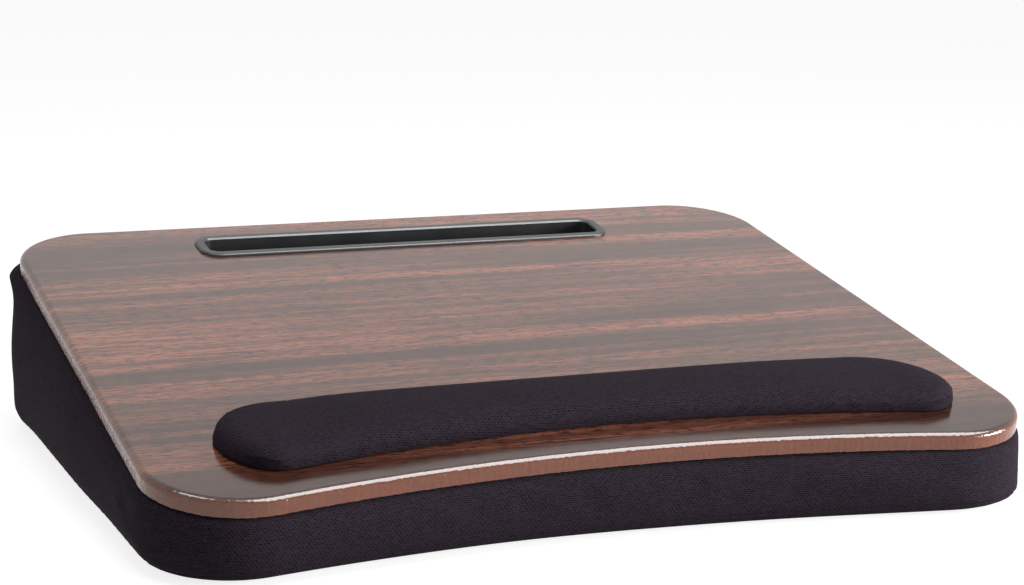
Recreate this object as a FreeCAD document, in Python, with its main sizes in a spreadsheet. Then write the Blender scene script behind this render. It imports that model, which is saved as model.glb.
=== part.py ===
import FreeCAD, Part
import math
import os

import Sketcher
from FreeCAD import Placement, Rotation, Vector

# A lap desk: a sloping wood-grain board with a slot that holds a tablet upright, a padded
# wrist rest along the hollowed front edge, and a wedge cushion underneath that sits on the lap.
#
# World frame, millimetres: +X to the user's right, +Y away from the user, +Z up. The origin is
# on the surface that the cushion rests on, under the middle of the whole desk.
# Desk frame: the board's own frame. Its origin is the middle of the top surface's back edge,
# its Y axis runs up the slope and its Z axis is the normal of the top surface.

doc = FreeCAD.newDocument("lap_desk")

# ---------------------------------------------------------------- driving dimensions

DIMENSIONS = [
    ("slope", 10, "angle of the board to the lap, degrees"),
    ("desk_width", 480, "board, side to side"),
    ("desk_length", 400.5, "board, back edge to the front lobes, along the slope"),
    ("desk_corner", 48, "plan radius of the board's four corners"),
    ("front_hollow", 19, "how far the front edge is hollowed between its two lobes"),
    ("back_height", 112.2, "height of the top surface's back edge"),
    ("back_y", 194.5, "world Y of the top surface's back edge"),
    ("foil", 0.4, "decor foil, wrapped over the top and the edges"),
    ("core", 8.2, "fibreboard core"),
    ("backing", 0.4, "balancing sheet under the core"),
    ("edge_roll", 3.5, "rounding of the board's upper edge"),
    ("slot_y", -42, "desk Y of the tablet slot's centre line"),
    ("slot_width", 254, "slot opening, side to side"),
    ("slot_gap", 24, "slot opening, front to back"),
    ("slot_corner", 6, "plan radius of the slot opening"),
    ("slot_depth", 20, "slot floor below the top surface"),
    ("slot_wall", 2, "wall of the moulded insert"),
    ("slot_floor", 1.6, "floor of the moulded insert"),
    ("slot_lip", 6, "width of the insert's lip round the opening"),
    ("slot_lip_rise", 1.8, "how far the lip stands above the top surface"),
    ("slot_fit", 0.5, "clearance between the insert and the board, each side"),
    ("slot_lip_round", 1.3, "rounding of the lip's outer edge"),
    ("slot_rim", 0.9, "chamfer on the rim of the slot opening"),
    ("well_play", 1.5, "play under the slot insert"),
    ("hook_play", 0.15, "play between a snap hook and the board's underside"),
    ("hook_reach", 1.6, "how far a snap hook stands out of the insert's wall"),
    ("hook_length", 9, "length of a snap hook along the wall"),
    ("hook_spread", 200, "first snap hook to the last on one wall"),
    ("rest_width", 400, "wrist rest, tip to tip"),
    ("rest_back", -302, "desk Y of the wrist rest's back edge"),
    ("rest_front", -370, "desk Y of the wrist rest's two front lobes"),
    ("rest_hollow", 18, "how far the wrist rest's front edge is hollowed"),
    ("rest_tip", 22, "plan radius of the wrist rest's front corners"),
    ("rest_shoulder", 44, "plan radius of the wrist rest's back corners"),
    ("rest_height", 10.5, "wrist rest above the top surface"),
    ("rest_round", 8.5, "rounding of the wrist rest's upper edge"),
    ("rest_shift", 6, "how far the wrist rest sits to the right of the middle"),
    ("cover", 0.8, "thickness of the knitted cover fabric"),
    ("rest_plate", 2.5, "base plate inside the wrist rest"),
    ("rest_plate_play", 0.4, "play between the wrist rest's plate and its cover"),
    ("rest_base_round", 1.5, "rounding of the wrist rest's lower edge"),
    ("rest_staple_inset", 7, "wrist rest's staple line inside its edge"),
    ("rest_staple_count", 28, "staples under the wrist rest"),
    ("rest_hem", 13, "cover turned under the wrist rest's plate"),
    ("cushion_width", 484, "cushion, side to side"),
    ("cushion_length", 399, "cushion, back wall to the front lobes"),
    ("cushion_corner", 50, "plan radius of the cushion's four corners"),
    ("cushion_round", 18, "rounding of the cushion's bottom edge"),
    ("cushion_shoulder", 5, "rounding of the cushion's top edge, under the board"),
    ("seam_height", 5, "height of the seam between side band and bottom panel"),
    ("tape", 1, "double-sided tape between board and cushion panel"),
    ("tape_width", 25, "width of a tape strip"),
    ("tape_length", 230, "length of a tape strip"),
    ("tape_pitch", 90, "tape strip to tape strip"),
    ("tape_start", -78, "desk Y of the tape strips' back ends"),
    ("panel", 3, "hardboard panel that the cushion cover is stapled to"),
    ("panel_inset", 4, "panel's edge inside the board's edge"),
    ("panel_slot_room", 5, "room round the slot insert in the panel and foam"),
    ("cushion_hem", 22, "cover turned over the panel"),
    ("cover_staple_count", 42, "staples that hold the cushion cover"),
    ("comfort_foam", 20, "memory foam layer at the bottom of the cushion"),
    ("staple_crown", 10, "width of a staple"),
    ("staple_wire", 0.5, "thickness of a staple's wire"),
    ("staple_leg", 2.6, "length of a staple's leg"),
    ("staple_band", 1.2, "width of a staple's flattened wire"),
    ("screw_shank", 3, "shank diameter of a wrist rest screw"),
    ("screw_head", 6, "head diameter of a wrist rest screw"),
    ("screw_length", 11.6, "length of a wrist rest screw"),
    ("screw_play", 0.2, "play round a screw in the board"),
    ("screw_pitch", 110, "screw to screw along the wrist rest"),
]

sheet = doc.addObject("Spreadsheet::Sheet", "Dimensions")
for row, (alias, value, note) in enumerate(DIMENSIONS, start=1):
    sheet.set(f"A{row}", note)
    sheet.set(f"B{row}", str(value))
    sheet.setAlias(f"B{row}", alias)
doc.recompute()

REACH = 600      # side of the helper blocks that cut the forms, larger than the whole desk
CLEAR = 1        # how far a cutting outline starts outside the face that it cuts
THROUGH = "30"   # deeper than the board and the cushion's panel
OVERCUT = 0.1    # how far a cut runs past a layer that it takes away
HOOK_ROOT = 0.5  # how far a snap hook's root goes into the insert's wall
SAMPLES = (0.0, 0.37, 0.71, 1.0)   # places along an edge where it is tested


def dim(alias):
    """A driving dimension as a plain number."""
    return float(sheet.get(alias))


def sized(text):
    """An expression with every dimension's name pointed at the sheet."""
    for alias, _, _ in sorted(DIMENSIONS, key=lambda item: -len(item[0])):
        text = text.replace("{" + alias + "}", "Dimensions." + alias)
    return text


def bind(target, path, text):
    """Ties a property of target to an expression in the driving dimensions."""
    target.setExpression(path, sized(text))


def value_of(text):
    """The same expression worked out as a number, for a sketch's first guess."""
    return float(sheet.evalExpression(sized(text)))


def place_on_desk(target, y="0", z="0", x="0"):
    """Puts target's own frame on the sloping desk frame, moved by x, y, z along its axes."""
    target.Placement = Placement(Vector(0, 0, 0), Rotation(Vector(1, 0, 0), dim("slope")))
    run = f"(({y}) * cos({{slope}} * 1 deg) - ({z}) * sin({{slope}} * 1 deg))"
    rise = f"(({y}) * sin({{slope}} * 1 deg) + ({z}) * cos({{slope}} * 1 deg))"
    bind(target, "Placement.Rotation.Angle", "{slope} * 1 deg")
    bind(target, "Placement.Base.x", x)
    bind(target, "Placement.Base.y", f"{{back_y}} + {run}")
    bind(target, "Placement.Base.z", f"{{back_height}} + {rise}")


# ---------------------------------------------------------------- sketches

def new_body(label):
    body = doc.addObject("PartDesign::Body", label)
    body.Label = label
    return body


def origin_plane(body, role):
    return next(item for item in body.Origin.OriginFeatures if item.Role == role)


def new_sketch(owner, name, height="0", role="XY_Plane"):
    """A sketch on one of the body's own planes, or a free one when owner is the document."""
    if owner is doc:
        return doc.addObject("Sketcher::SketchObject", name)
    sketch = owner.newObject("Sketcher::SketchObject", name)
    sketch.AttachmentSupport = [(origin_plane(owner, role), "")]
    sketch.MapMode = "FlatFace"
    bind(sketch, "AttachmentOffset.Base.z", height)
    return sketch


def circle_arc(centre, radius, start, end):
    """An arc round centre, anticlockwise from the angle start to the angle end, degrees."""
    circle = Part.Circle(Vector(*centre, 0), Vector(0, 0, 1), radius)
    return Part.ArcOfCircle(circle, math.radians(start), math.radians(end))


def segment(start, end):
    return Part.LineSegment(Vector(*start, 0), Vector(*end, 0))


def constrain(sketch, name, kind, *where, text):
    """Adds a named dimension to the sketch and ties it to the sheet."""
    sketch.addConstraint(Sketcher.Constraint(kind, *where, value_of(text)))
    sketch.renameConstraint(sketch.ConstraintCount - 1, name)
    bind(sketch, "Constraints." + name, text)


def relate(sketch, *constraint):
    sketch.addConstraint(Sketcher.Constraint(*constraint))


START, END, CENTRE = 1, 2, 3
X_AXIS, Y_AXIS = -1, -2


def hollow_outline(owner, name, height, width, back, front, corner, hollow, inset="0"):
    """Closed plan outline with four round corners and a front edge hollowed by one arc.

    back and front are the Y of the back edge and of the two front lobes. inset shrinks the
    whole outline evenly. The hollow's radius follows from its depth and the corners, which
    it meets without a kink.
    """
    width, corner = f"({width} - 2 * ({inset}))", f"({corner} - ({inset}))"
    back, front = f"({back} - ({inset}))", f"({front} + ({inset}))"
    half = f"({width} / 2 - {corner})"
    arc = f"(({half} ^ 2 + {hollow} ^ 2) / (2 * {hollow}) - {corner})"
    a, r, big = value_of(half), value_of(corner), value_of(arc)
    y1, y0, sag = value_of(back), value_of(front), value_of(hollow)
    centre_y = y0 + sag - big
    turn = math.degrees(math.asin(a / (big + r)))

    sketch = new_sketch(owner, name, height)
    sketch.addGeometry([
        segment((a, y1), (-a, y1)),                                       # 0 back edge
        circle_arc((-a, y1 - r), r, 90, 180),                             # 1 back left
        segment((-a - r, y1 - r), (-a - r, y0 + r)),                      # 2 left side
        circle_arc((-a, y0 + r), r, 180, 270 + turn),                     # 3 front left
        circle_arc((0, centre_y), big, 90 - turn, 90 + turn),             # 4 hollow
        circle_arc((a, y0 + r), r, 270 - turn, 360),                      # 5 front right
        segment((a + r, y0 + r), (a + r, y1 - r)),                        # 6 right side
        circle_arc((a, y1 - r), r, 0, 90),                                # 7 back right
    ])
    for first, first_end, second, second_end in (
            (0, END, 1, START), (1, END, 2, START), (2, END, 3, START), (3, END, 4, END),
            (4, START, 5, START), (5, END, 6, START), (6, END, 7, START), (7, END, 0, START)):
        relate(sketch, "Tangent", first, first_end, second, second_end)
    relate(sketch, "Vertical", 2)
    relate(sketch, "Vertical", 6)
    relate(sketch, "Symmetric", 0, START, 0, END, Y_AXIS)
    relate(sketch, "PointOnObject", 4, CENTRE, Y_AXIS)
    for other in (3, 5, 7):
        relate(sketch, "Equal", 1, other)
    constrain(sketch, "width", "DistanceX", 2, START, 6, END, text=width)
    constrain(sketch, "corner", "Radius", 1, text=corner)
    constrain(sketch, "hollow_radius", "Radius", 4, text=arc)
    constrain(sketch, "back", "DistanceY", X_AXIS, 1, 0, START, text=back)
    constrain(sketch, "front", "DistanceY", X_AXIS, 1, 5, CENTRE, text=f"{front} + {corner}")
    return sketch


def rest_outline(owner, name, height, inset="0"):
    """Plan outline of the wrist rest: straight back, wide shoulders, hollowed front."""
    tip = f"({{rest_tip}} - ({inset}))"
    shoulder = f"({{rest_shoulder}} - ({inset}))"
    half = "({rest_width} / 2 - {rest_tip})"
    arc = f"(({half} ^ 2 + {{rest_hollow}} ^ 2) / (2 * {{rest_hollow}}) - {tip})"
    back, tip_y = f"({{rest_back}} - ({inset}))", "({rest_front} + {rest_tip})"
    a, r, big, wide = (value_of(text) for text in (half, tip, arc, shoulder))
    y1, tip_centre, sag = value_of(back), value_of(tip_y), dim("rest_hollow")
    centre_y = tip_centre - r + sag - big
    turn = math.degrees(math.asin(a / (big + r)))
    drop = tip_centre - (y1 - wide)
    flat = a - math.sqrt((wide - r) ** 2 - drop ** 2)
    lift = math.degrees(math.atan2(drop, a - flat))

    sketch = new_sketch(owner, name, height)
    sketch.addGeometry([
        segment((flat, y1), (-flat, y1)),                                 # 0 back edge
        circle_arc((-flat, y1 - wide), wide, 90, 180 - lift),             # 1 left shoulder
        circle_arc((-a, tip_centre), r, 180 - lift, 270 + turn),          # 2 left tip
        circle_arc((0, centre_y), big, 90 - turn, 90 + turn),             # 3 hollow
        circle_arc((a, tip_centre), r, 270 - turn, 360 + lift),           # 4 right tip
        circle_arc((flat, y1 - wide), wide, lift, 90),                    # 5 right shoulder
    ])
    for first, first_end, second, second_end in (
            (0, END, 1, START), (1, END, 2, START), (2, END, 3, END),
            (3, START, 4, START), (4, END, 5, START), (5, END, 0, START)):
        relate(sketch, "Tangent", first, first_end, second, second_end)
    relate(sketch, "Symmetric", 0, START, 0, END, Y_AXIS)
    relate(sketch, "PointOnObject", 3, CENTRE, Y_AXIS)
    relate(sketch, "Equal", 2, 4)
    relate(sketch, "Equal", 1, 5)
    constrain(sketch, "tips", "DistanceX", 2, CENTRE, 4, CENTRE, text=f"2 * {half}")
    constrain(sketch, "tip", "Radius", 2, text=tip)
    constrain(sketch, "shoulder", "Radius", 1, text=shoulder)
    constrain(sketch, "hollow_radius", "Radius", 3, text=arc)
    constrain(sketch, "back", "DistanceY", X_AXIS, 1, 0, START, text=back)
    constrain(sketch, "front", "DistanceY", X_AXIS, 1, 4, CENTRE, text=tip_y)
    return sketch


def slot_outline(owner, name, height, grow="0", y="0"):
    """Rounded rectangle round the tablet slot, grown evenly all round by grow."""
    half_x = f"({{slot_width}} / 2 + ({grow}))"
    half_y = f"({{slot_gap}} / 2 + ({grow}))"
    corner = f"({{slot_corner}} + ({grow}))"
    hx, hy, r, mid = (value_of(text) for text in (half_x, half_y, corner, y))
    a, b = hx - r, hy - r

    sketch = new_sketch(owner, name, height)
    sketch.addGeometry([
        segment((a, mid + hy), (-a, mid + hy)),                           # 0 back
        circle_arc((-a, mid + b), r, 90, 180),                            # 1
        segment((-hx, mid + b), (-hx, mid - b)),                          # 2 left
        circle_arc((-a, mid - b), r, 180, 270),                           # 3
        segment((-a, mid - hy), (a, mid - hy)),                           # 4 front
        circle_arc((a, mid - b), r, 270, 360),                            # 5
        segment((hx, mid - b), (hx, mid + b)),                            # 6 right
        circle_arc((a, mid + b), r, 0, 90),                               # 7
    ])
    for index in range(8):
        relate(sketch, "Tangent", index, END, (index + 1) % 8, START)
    relate(sketch, "Horizontal", 4)
    for index in (2, 6):
        relate(sketch, "Vertical", index)
    relate(sketch, "Symmetric", 0, START, 0, END, Y_AXIS)
    for other in (3, 5, 7):
        relate(sketch, "Equal", 1, other)
    constrain(sketch, "corner", "Radius", 1, text=corner)
    constrain(sketch, "width", "DistanceX", 2, END, 6, START, text=f"2 * {half_x}")
    constrain(sketch, "gap", "DistanceY", 4, END, 0, START, text=f"2 * {half_y}")
    constrain(sketch, "front", "DistanceY", X_AXIS, 1, 4, START, text=f"{y} - {half_y}")
    return sketch


# ---------------------------------------------------------------- features

def pad(body, sketch, length, upwards=True):
    feature = body.newObject("PartDesign::Pad", sketch.Name + "_pad")
    feature.Profile = sketch
    feature.Reversed = not upwards
    bind(feature, "Length", length)
    doc.recompute()
    return feature


def pocket(body, sketch, length, upwards=False):
    """Removes the sketch's outline, downwards from its plane unless upwards is asked for."""
    feature = body.newObject("PartDesign::Pocket", sketch.Name + "_pocket")
    feature.Profile = sketch
    feature.Reversed = upwards
    bind(feature, "Length", length)
    before = body.Shape.Volume
    doc.recompute()
    assert body.Shape.Volume < before - 0.01, f"{sketch.Name} cuts nothing"
    return feature


def edges_where(feature, test):
    """Names of the feature's edges whose every sampled point passes the test."""
    names = []
    for index, edge in enumerate(feature.Shape.Edges, start=1):
        points = [edge.valueAt(edge.FirstParameter + part * (edge.LastParameter - edge.FirstParameter))
                  for part in SAMPLES]
        if all(test(point) for point in points):
            names.append(f"Edge{index}")
    return names


def edges_at_height(feature, height):
    return edges_where(feature, lambda point: abs(point.z - height) < 1e-4)


def dress(body, kind, base, edges, property_name, text):
    feature = body.newObject("PartDesign::" + kind, f"{base.Name}_{kind.lower()}")
    feature.Base = (base, edges)
    bind(feature, property_name, text)
    doc.recompute()
    return feature


def fillet(body, base, edges, radius):
    return dress(body, "Fillet", base, edges, "Radius", radius)


def chamfer(body, base, edges, size):
    return dress(body, "Chamfer", base, edges, "Size", size)


def boolean(kind, label, base, tool):
    feature = doc.addObject("Part::" + kind, label)
    feature.Label = label
    feature.Base, feature.Tool = base, tool
    doc.recompute()
    return feature


def compound(label, members):
    feature = doc.addObject("Part::Compound", label)
    feature.Label = label
    feature.Links = members
    doc.recompute()
    return feature


def world_slab(label, low, height):
    """A wide block from the world height low, used to slice the cushion level."""
    block = doc.addObject("Part::Box", label)
    block.Length = block.Width = REACH
    block.Placement.Base = Vector(-REACH / 2, -REACH / 2, 0)
    bind(block, "Height", height)
    bind(block, "Placement.Base.z", low)
    return block


def desk_block(label, top, height, half_x, low_y, span_y):
    """A block in the desk frame whose upper face is at the desk height top."""
    block = doc.addObject("Part::Box", label)
    bind(block, "Length", f"2 * ({half_x})")
    bind(block, "Width", span_y)
    bind(block, "Height", height)
    place_on_desk(block, y=low_y, z=f"{top} - ({height})", x=f"0 - ({half_x})")
    return block


def desk_slab(label, top, height):
    """A block wider than the desk whose upper face is at the desk height top."""
    return desk_block(label, top, height, f"{REACH}", f"0 - {REACH}", f"2 * {REACH}")


def board_outline(body, name, height, inset="0"):
    return hollow_outline(body, name, height, "{desk_width}", "0", "(0 - {desk_length})",
                          "{desk_corner}", "{front_hollow}", inset)


# ---------------------------------------------------------------- board

CORE_TOP = "(0 - {foil})"
CORE_BOTTOM = "(0 - {foil} - {core})"
BOARD_BOTTOM = "(0 - {foil} - {core} - {backing})"
CUT_OUT = "({slot_wall} + {slot_fit})"
SCREW_Y = "(({rest_back} + {rest_front} + {rest_hollow}) / 2)"
screw_places = [f"({step} * {{screw_pitch}} + {{rest_shift}})" for step in (-1.5, -0.5, 0.5, 1.5)]


def screw_holes(body, name, height, radius):
    """Four holes in a row under the wrist rest, as one sketch."""
    sketch = new_sketch(body, name, height)
    for index, place in enumerate(screw_places):
        centre = Vector(value_of(place), value_of(SCREW_Y), 0)
        sketch.addGeometry(Part.Circle(centre, Vector(0, 0, 1), value_of(radius)))
        constrain(sketch, f"radius{index}", "Radius", index, text=radius)
        constrain(sketch, f"along{index}", "DistanceX", X_AXIS, 1, index, CENTRE, text=place)
        constrain(sketch, f"across{index}", "DistanceY", X_AXIS, 1, index, CENTRE, text=SCREW_Y)
    return sketch


def board_form(label, top, thickness, inset):
    """A slab of the board's outline with a rolled upper edge."""
    body = new_body(label)
    slab = pad(body, board_outline(body, label + "_plan", top, inset), thickness, False)
    fillet(body, slab, edges_at_height(slab, value_of(top)), f"{{edge_roll}} - ({inset})")
    return body


def make_board_core():
    """Fibreboard with the slot cut out and four countersunk holes for the wrist rest."""
    body = board_form("board_core", CORE_TOP, "{core}", "{foil}")
    pocket(body, slot_outline(body, "core_slot", f"{CLEAR}", CUT_OUT, "{slot_y}"), THROUGH)
    holes = screw_holes(body, "core_screws", f"{CLEAR}", "{screw_shank} / 2 + {screw_play}")
    cut = pocket(body, holes, THROUGH)
    rims = [name for name in edges_at_height(cut, value_of(CORE_BOTTOM))
            if cut.Shape.getElement(name).BoundBox.XLength < dim("screw_head")]
    chamfer(body, cut, rims, "({screw_head} - {screw_shank}) / 2")
    place_on_desk(body)
    return body


def make_wood_grain_foil():
    """Decor foil, one skin over the core's top and edges, pierced where the core is."""
    body = board_form("foil_blank", "0", "{foil} + {core}", "0")
    pocket(body, slot_outline(body, "foil_slot", f"{CLEAR}", CUT_OUT, "{slot_y}"), THROUGH)
    holes = screw_holes(body, "foil_screws", f"{CLEAR}", "{screw_shank} / 2 + {screw_play}")
    pocket(body, holes, THROUGH)
    space = board_form("foil_core_space", CORE_TOP, f"{{core}} + {CLEAR}", "{foil}")
    place_on_desk(body)
    place_on_desk(space)
    return boolean("Cut", "wood_grain_foil", body, space)


def make_backing_sheet():
    body = new_body("backing_sheet")
    pad(body, board_outline(body, "backing_plan", CORE_BOTTOM, "{foil}"), "{backing}", False)
    pocket(body, slot_outline(body, "backing_slot", "0", CUT_OUT, "{slot_y}"), THROUGH)
    pocket(body, screw_holes(body, "backing_screws", "0", "{screw_head} / 2 + {screw_play}"), THROUGH)
    place_on_desk(body)
    return body


# ---------------------------------------------------------------- tablet slot insert

def make_slot_insert():
    """One moulding, drawn about the slot's own centre: lip, well and snap hooks."""
    body = new_body("slot_insert")
    lip_plan = slot_outline(body, "lip_plan", "0", "{slot_lip}")
    pad(body, lip_plan, "{slot_lip_rise}")
    well_plan = slot_outline(body, "well_plan", "0", "{slot_wall}")
    pad(body, well_plan, "{slot_depth} + {slot_floor}", False)

    hook = new_sketch(body, "hook", "0 - {hook_length} / 2", "YZ_Plane")
    wall = f"({{slot_gap}} / 2 + {{slot_wall}})"
    under = f"({BOARD_BOTTOM} - {{hook_play}})"
    w, u, reach = value_of(wall), value_of(under), dim("hook_reach")
    root = w - HOOK_ROOT
    hook.addGeometry([segment((root, u), (w + reach, u)),
                      segment((w + reach, u), (root, u - 2 * reach)),
                      segment((root, u - 2 * reach), (root, u))])
    for index in range(3):
        relate(hook, "Coincident", index, END, (index + 1) % 3, START)
    relate(hook, "Horizontal", 0)
    relate(hook, "Vertical", 2)
    constrain(hook, "root", "DistanceX", X_AXIS, 1, 0, START, text=f"{wall} - {HOOK_ROOT}")
    constrain(hook, "catch", "DistanceX", 0, START, 0, END, text=f"{{hook_reach}} + {HOOK_ROOT}")
    constrain(hook, "under", "DistanceY", X_AXIS, 1, 0, START, text=under)
    constrain(hook, "ramp", "DistanceY", 2, START, 2, END, text="2 * {hook_reach}")
    first = pad(body, hook, "{hook_length}")

    pattern = body.newObject("PartDesign::MultiTransform", "hooks")
    row = body.newObject("PartDesign::LinearPattern", "hook_row")
    row.Direction = (origin_plane(body, "YZ_Plane"), [""])
    row.Occurrences = 3
    bind(row, "Length", "{hook_spread} / 2")
    sides = body.newObject("PartDesign::Mirrored", "hook_sides")
    sides.MirrorPlane = (origin_plane(body, "XZ_Plane"), [""])
    halves = body.newObject("PartDesign::Mirrored", "hook_halves")
    halves.MirrorPlane = (origin_plane(body, "YZ_Plane"), [""])
    pattern.Originals = [first]
    pattern.Transformations = [row, sides, halves]
    body.Tip = pattern
    doc.recompute()

    opening = slot_outline(body, "opening", "{slot_lip_rise}")
    cut = pocket(body, opening, "{slot_depth} + {slot_lip_rise}")
    rise = dim("slot_lip_rise")
    top = edges_at_height(cut, rise)
    outer = [name for name in top if reaches_out(cut, name)]
    rounded = fillet(body, cut, outer, "{slot_lip_round}")
    inner = [name for name in edges_at_height(rounded, rise) if in_opening(rounded, name)]
    chamfer(body, rounded, inner, "{slot_rim}")
    place_on_desk(body, y="{slot_y}")
    return body


def middle(feature, name):
    edge = feature.Shape.getElement(name)
    return edge.valueAt((edge.FirstParameter + edge.LastParameter) / 2)


def reaches_out(feature, name):
    """True for an edge on the outer side of the lip."""
    point = middle(feature, name)
    margin = dim("slot_lip") / 2
    return (abs(point.x) > dim("slot_width") / 2 + margin
            or abs(point.y) > dim("slot_gap") / 2 + margin)


def in_opening(feature, name):
    """True for an edge on the rim of the opening."""
    point = middle(feature, name)
    return (abs(point.x) < dim("slot_width") / 2 + 0.1
            and abs(point.y) < dim("slot_gap") / 2 + 0.1)


# ---------------------------------------------------------------- staples and screws

def staple(point, along, down):
    """One staple: a flat crown centred on point and two legs that go down from its ends."""
    crown, wire, leg, band = (dim(name) for name in
                              ("staple_crown", "staple_wire", "staple_leg", "staple_band"))
    across = down.cross(along)
    turn = Rotation(along, across, down, "ZXY")
    top = Part.makeBox(crown, band, wire, Vector(-crown / 2, -band / 2, 0))
    legs = [Part.makeBox(wire, band, leg, Vector(side * (crown - wire) / 2 - wire / 2, -band / 2, 0))
            for side in (-1, 1)]
    shape = top.fuse(legs).removeSplitter()
    shape.Placement = Placement(point, turn)
    return shape


def make_staples(label, path, count_name, surface, down):
    """A row of separate staples along the closed sketch path, crowns flush with surface."""
    count = int(dim(count_name))
    ring = path.Shape.Wires[0].discretize(Number=count + 1)[:-1]
    solids = []
    for index, point in enumerate(ring):
        along = (ring[(index + 1) % count] - ring[index - 1]).normalize()
        spot = Vector(point.x, point.y, surface)
        solids.append(staple(spot, along, Vector(0, 0, down)))
    feature = doc.addObject("Part::Feature", label)
    feature.Label = label
    feature.Shape = Part.makeCompound(solids)
    return feature


def make_wrist_rest_screws():
    """Four countersunk screws driven up through the board into the wrist rest's plate."""
    screws = []
    for index, place in enumerate(screw_places):
        shank = doc.addObject("Part::Cylinder", f"screw_shank{index}")
        bind(shank, "Radius", "{screw_shank} / 2")
        bind(shank, "Height", "{screw_length}")
        head = doc.addObject("Part::Cone", f"screw_head{index}")
        bind(head, "Radius1", "{screw_head} / 2")
        bind(head, "Radius2", "{screw_shank} / 2")
        bind(head, "Height", "({screw_head} - {screw_shank}) / 2")
        screw = boolean("Fuse", f"screw{index}", shank, head)
        place_on_desk(screw, y=SCREW_Y, z=CORE_BOTTOM, x=place)
        screws.append(screw)
    return compound("wrist_rest_screws", screws)


# ---------------------------------------------------------------- wrist rest

def rest_form(label, low, height, inset, rounding):
    """A pad of the wrist rest's outline with a rounded upper edge."""
    body = new_body(label)
    block = pad(body, rest_outline(body, label + "_plan", low, inset), height)
    fillet(body, block, edges_at_height(block, value_of(f"{low} + {height}")), rounding)
    return body


def make_wrist_rest(screws):
    """Base plate, foam and cover; the cover is one skin turned under the plate as a hem."""
    shift = "{rest_shift}"
    plate = new_body("wrist_rest_plate")
    pad(plate, rest_outline(plate, "plate_plan", "{cover}", "{cover} + {rest_plate_play}"),
        "{rest_plate}")
    space = rest_form("wrist_rest_space", "{cover}", "({rest_height} - 2 * {cover})", "{cover}",
                      "{rest_round} - {cover}")
    skin = rest_form("wrist_rest_skin", "0", "{rest_height}", "0", "{rest_round}")
    fillet(skin, skin.Tip, edges_at_height(skin.Tip, 0), "{rest_base_round}")
    pocket(skin, rest_outline(skin, "hem_opening", "0", "{rest_hem}"), "2 * {cover}", True)
    for body in (plate, space, skin):
        place_on_desk(body, x=shift)
    plate_room = desk_slab("wrist_rest_plate_room", "({cover} + {rest_plate})", f"{REACH}")
    foam = boolean("Cut", "wrist_rest_foam", space, plate_room)

    line = rest_outline(doc, "rest_staple_line", "0", "{rest_staple_inset}")
    doc.recompute()
    staples = make_staples("wrist_rest_staples", line, "rest_staple_count", 0, 1)
    place_on_desk(staples, x=shift)
    doc.recompute()
    shell = boolean("Cut", "wrist_rest_shell", skin, space)
    cover = boolean("Cut", "wrist_rest_cover", shell, staples)
    stapled = boolean("Cut", "wrist_rest_plate_stapled", plate, staples)
    screwed = boolean("Cut", "wrist_rest_plate_screwed", stapled, screws)
    return [(screwed, "wrist_rest_plate"), (foam, "wrist_rest_foam"),
            (cover, "wrist_rest_cover"), (staples, "wrist_rest_staples")]


# ---------------------------------------------------------------- cushion

PANEL_TOP = f"({BOARD_BOTTOM} - {{tape}})"
PANEL_BOTTOM = f"({PANEL_TOP} - {{panel}})"
HEM_TOP = f"({PANEL_TOP} + {{cover}})"


def cushion_form(label, inset, top, bottom_round, shoulder):
    """The wedge that the cover encloses, shrunk evenly by inset, up to a desk height top."""
    body = new_body(label)
    plan = hollow_outline(body, label + "_plan", inset, "{cushion_width}", "({cushion_length} / 2)",
                          "(0 - {cushion_length} / 2)", "{cushion_corner}", "{front_hollow}", inset)
    block = pad(body, plan, f"{REACH / 2}")
    base = edges_at_height(block, value_of(inset))
    rounded = fillet(body, block, base, bottom_round)

    slice_top = new_sketch(body, label + "_slice", "0", "YZ_Plane")
    far = REACH / 2
    rise = (f"({{back_height}} + ({far} - {{back_y}}) * tan({{slope}} * 1 deg)"
            f" + {top} / cos({{slope}} * 1 deg))")
    high = value_of(rise)
    low = high - 2 * far * math.tan(math.radians(dim("slope")))
    slice_top.addGeometry([segment((-far, low), (far, high)), segment((far, high), (far, far)),
                           segment((far, far), (-far, far)), segment((-far, far), (-far, low))])
    for index in range(4):
        relate(slice_top, "Coincident", index, END, (index + 1) % 4, START)
    relate(slice_top, "Vertical", 1)
    relate(slice_top, "Horizontal", 2)
    relate(slice_top, "Vertical", 3)
    constrain(slice_top, "far", "DistanceX", X_AXIS, 1, 0, END, text=f"{far}")
    constrain(slice_top, "near", "DistanceX", 0, START, 0, END, text=f"{2 * far}")
    constrain(slice_top, "rise", "DistanceY", X_AXIS, 1, 0, END, text=rise)
    constrain(slice_top, "fall", "DistanceY", 0, START, 0, END,
              text=f"{2 * far} * tan({{slope}} * 1 deg)")
    constrain(slice_top, "above", "DistanceY", X_AXIS, 1, 2, START, text=f"{far}")
    feature = body.newObject("PartDesign::Pocket", label + "_slope")
    feature.Profile = slice_top
    feature.Midplane = True
    feature.Length = REACH
    before = body.Shape.Volume
    doc.recompute()
    assert body.Shape.Volume < before, "the slope cuts nothing"

    tilt = math.radians(dim("slope"))
    def on_slope(point):
        return abs(point.z - high - (point.y - far) * math.tan(tilt)) < 1e-3
    fillet(body, feature, edges_where(feature, on_slope), shoulder)
    return body


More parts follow.
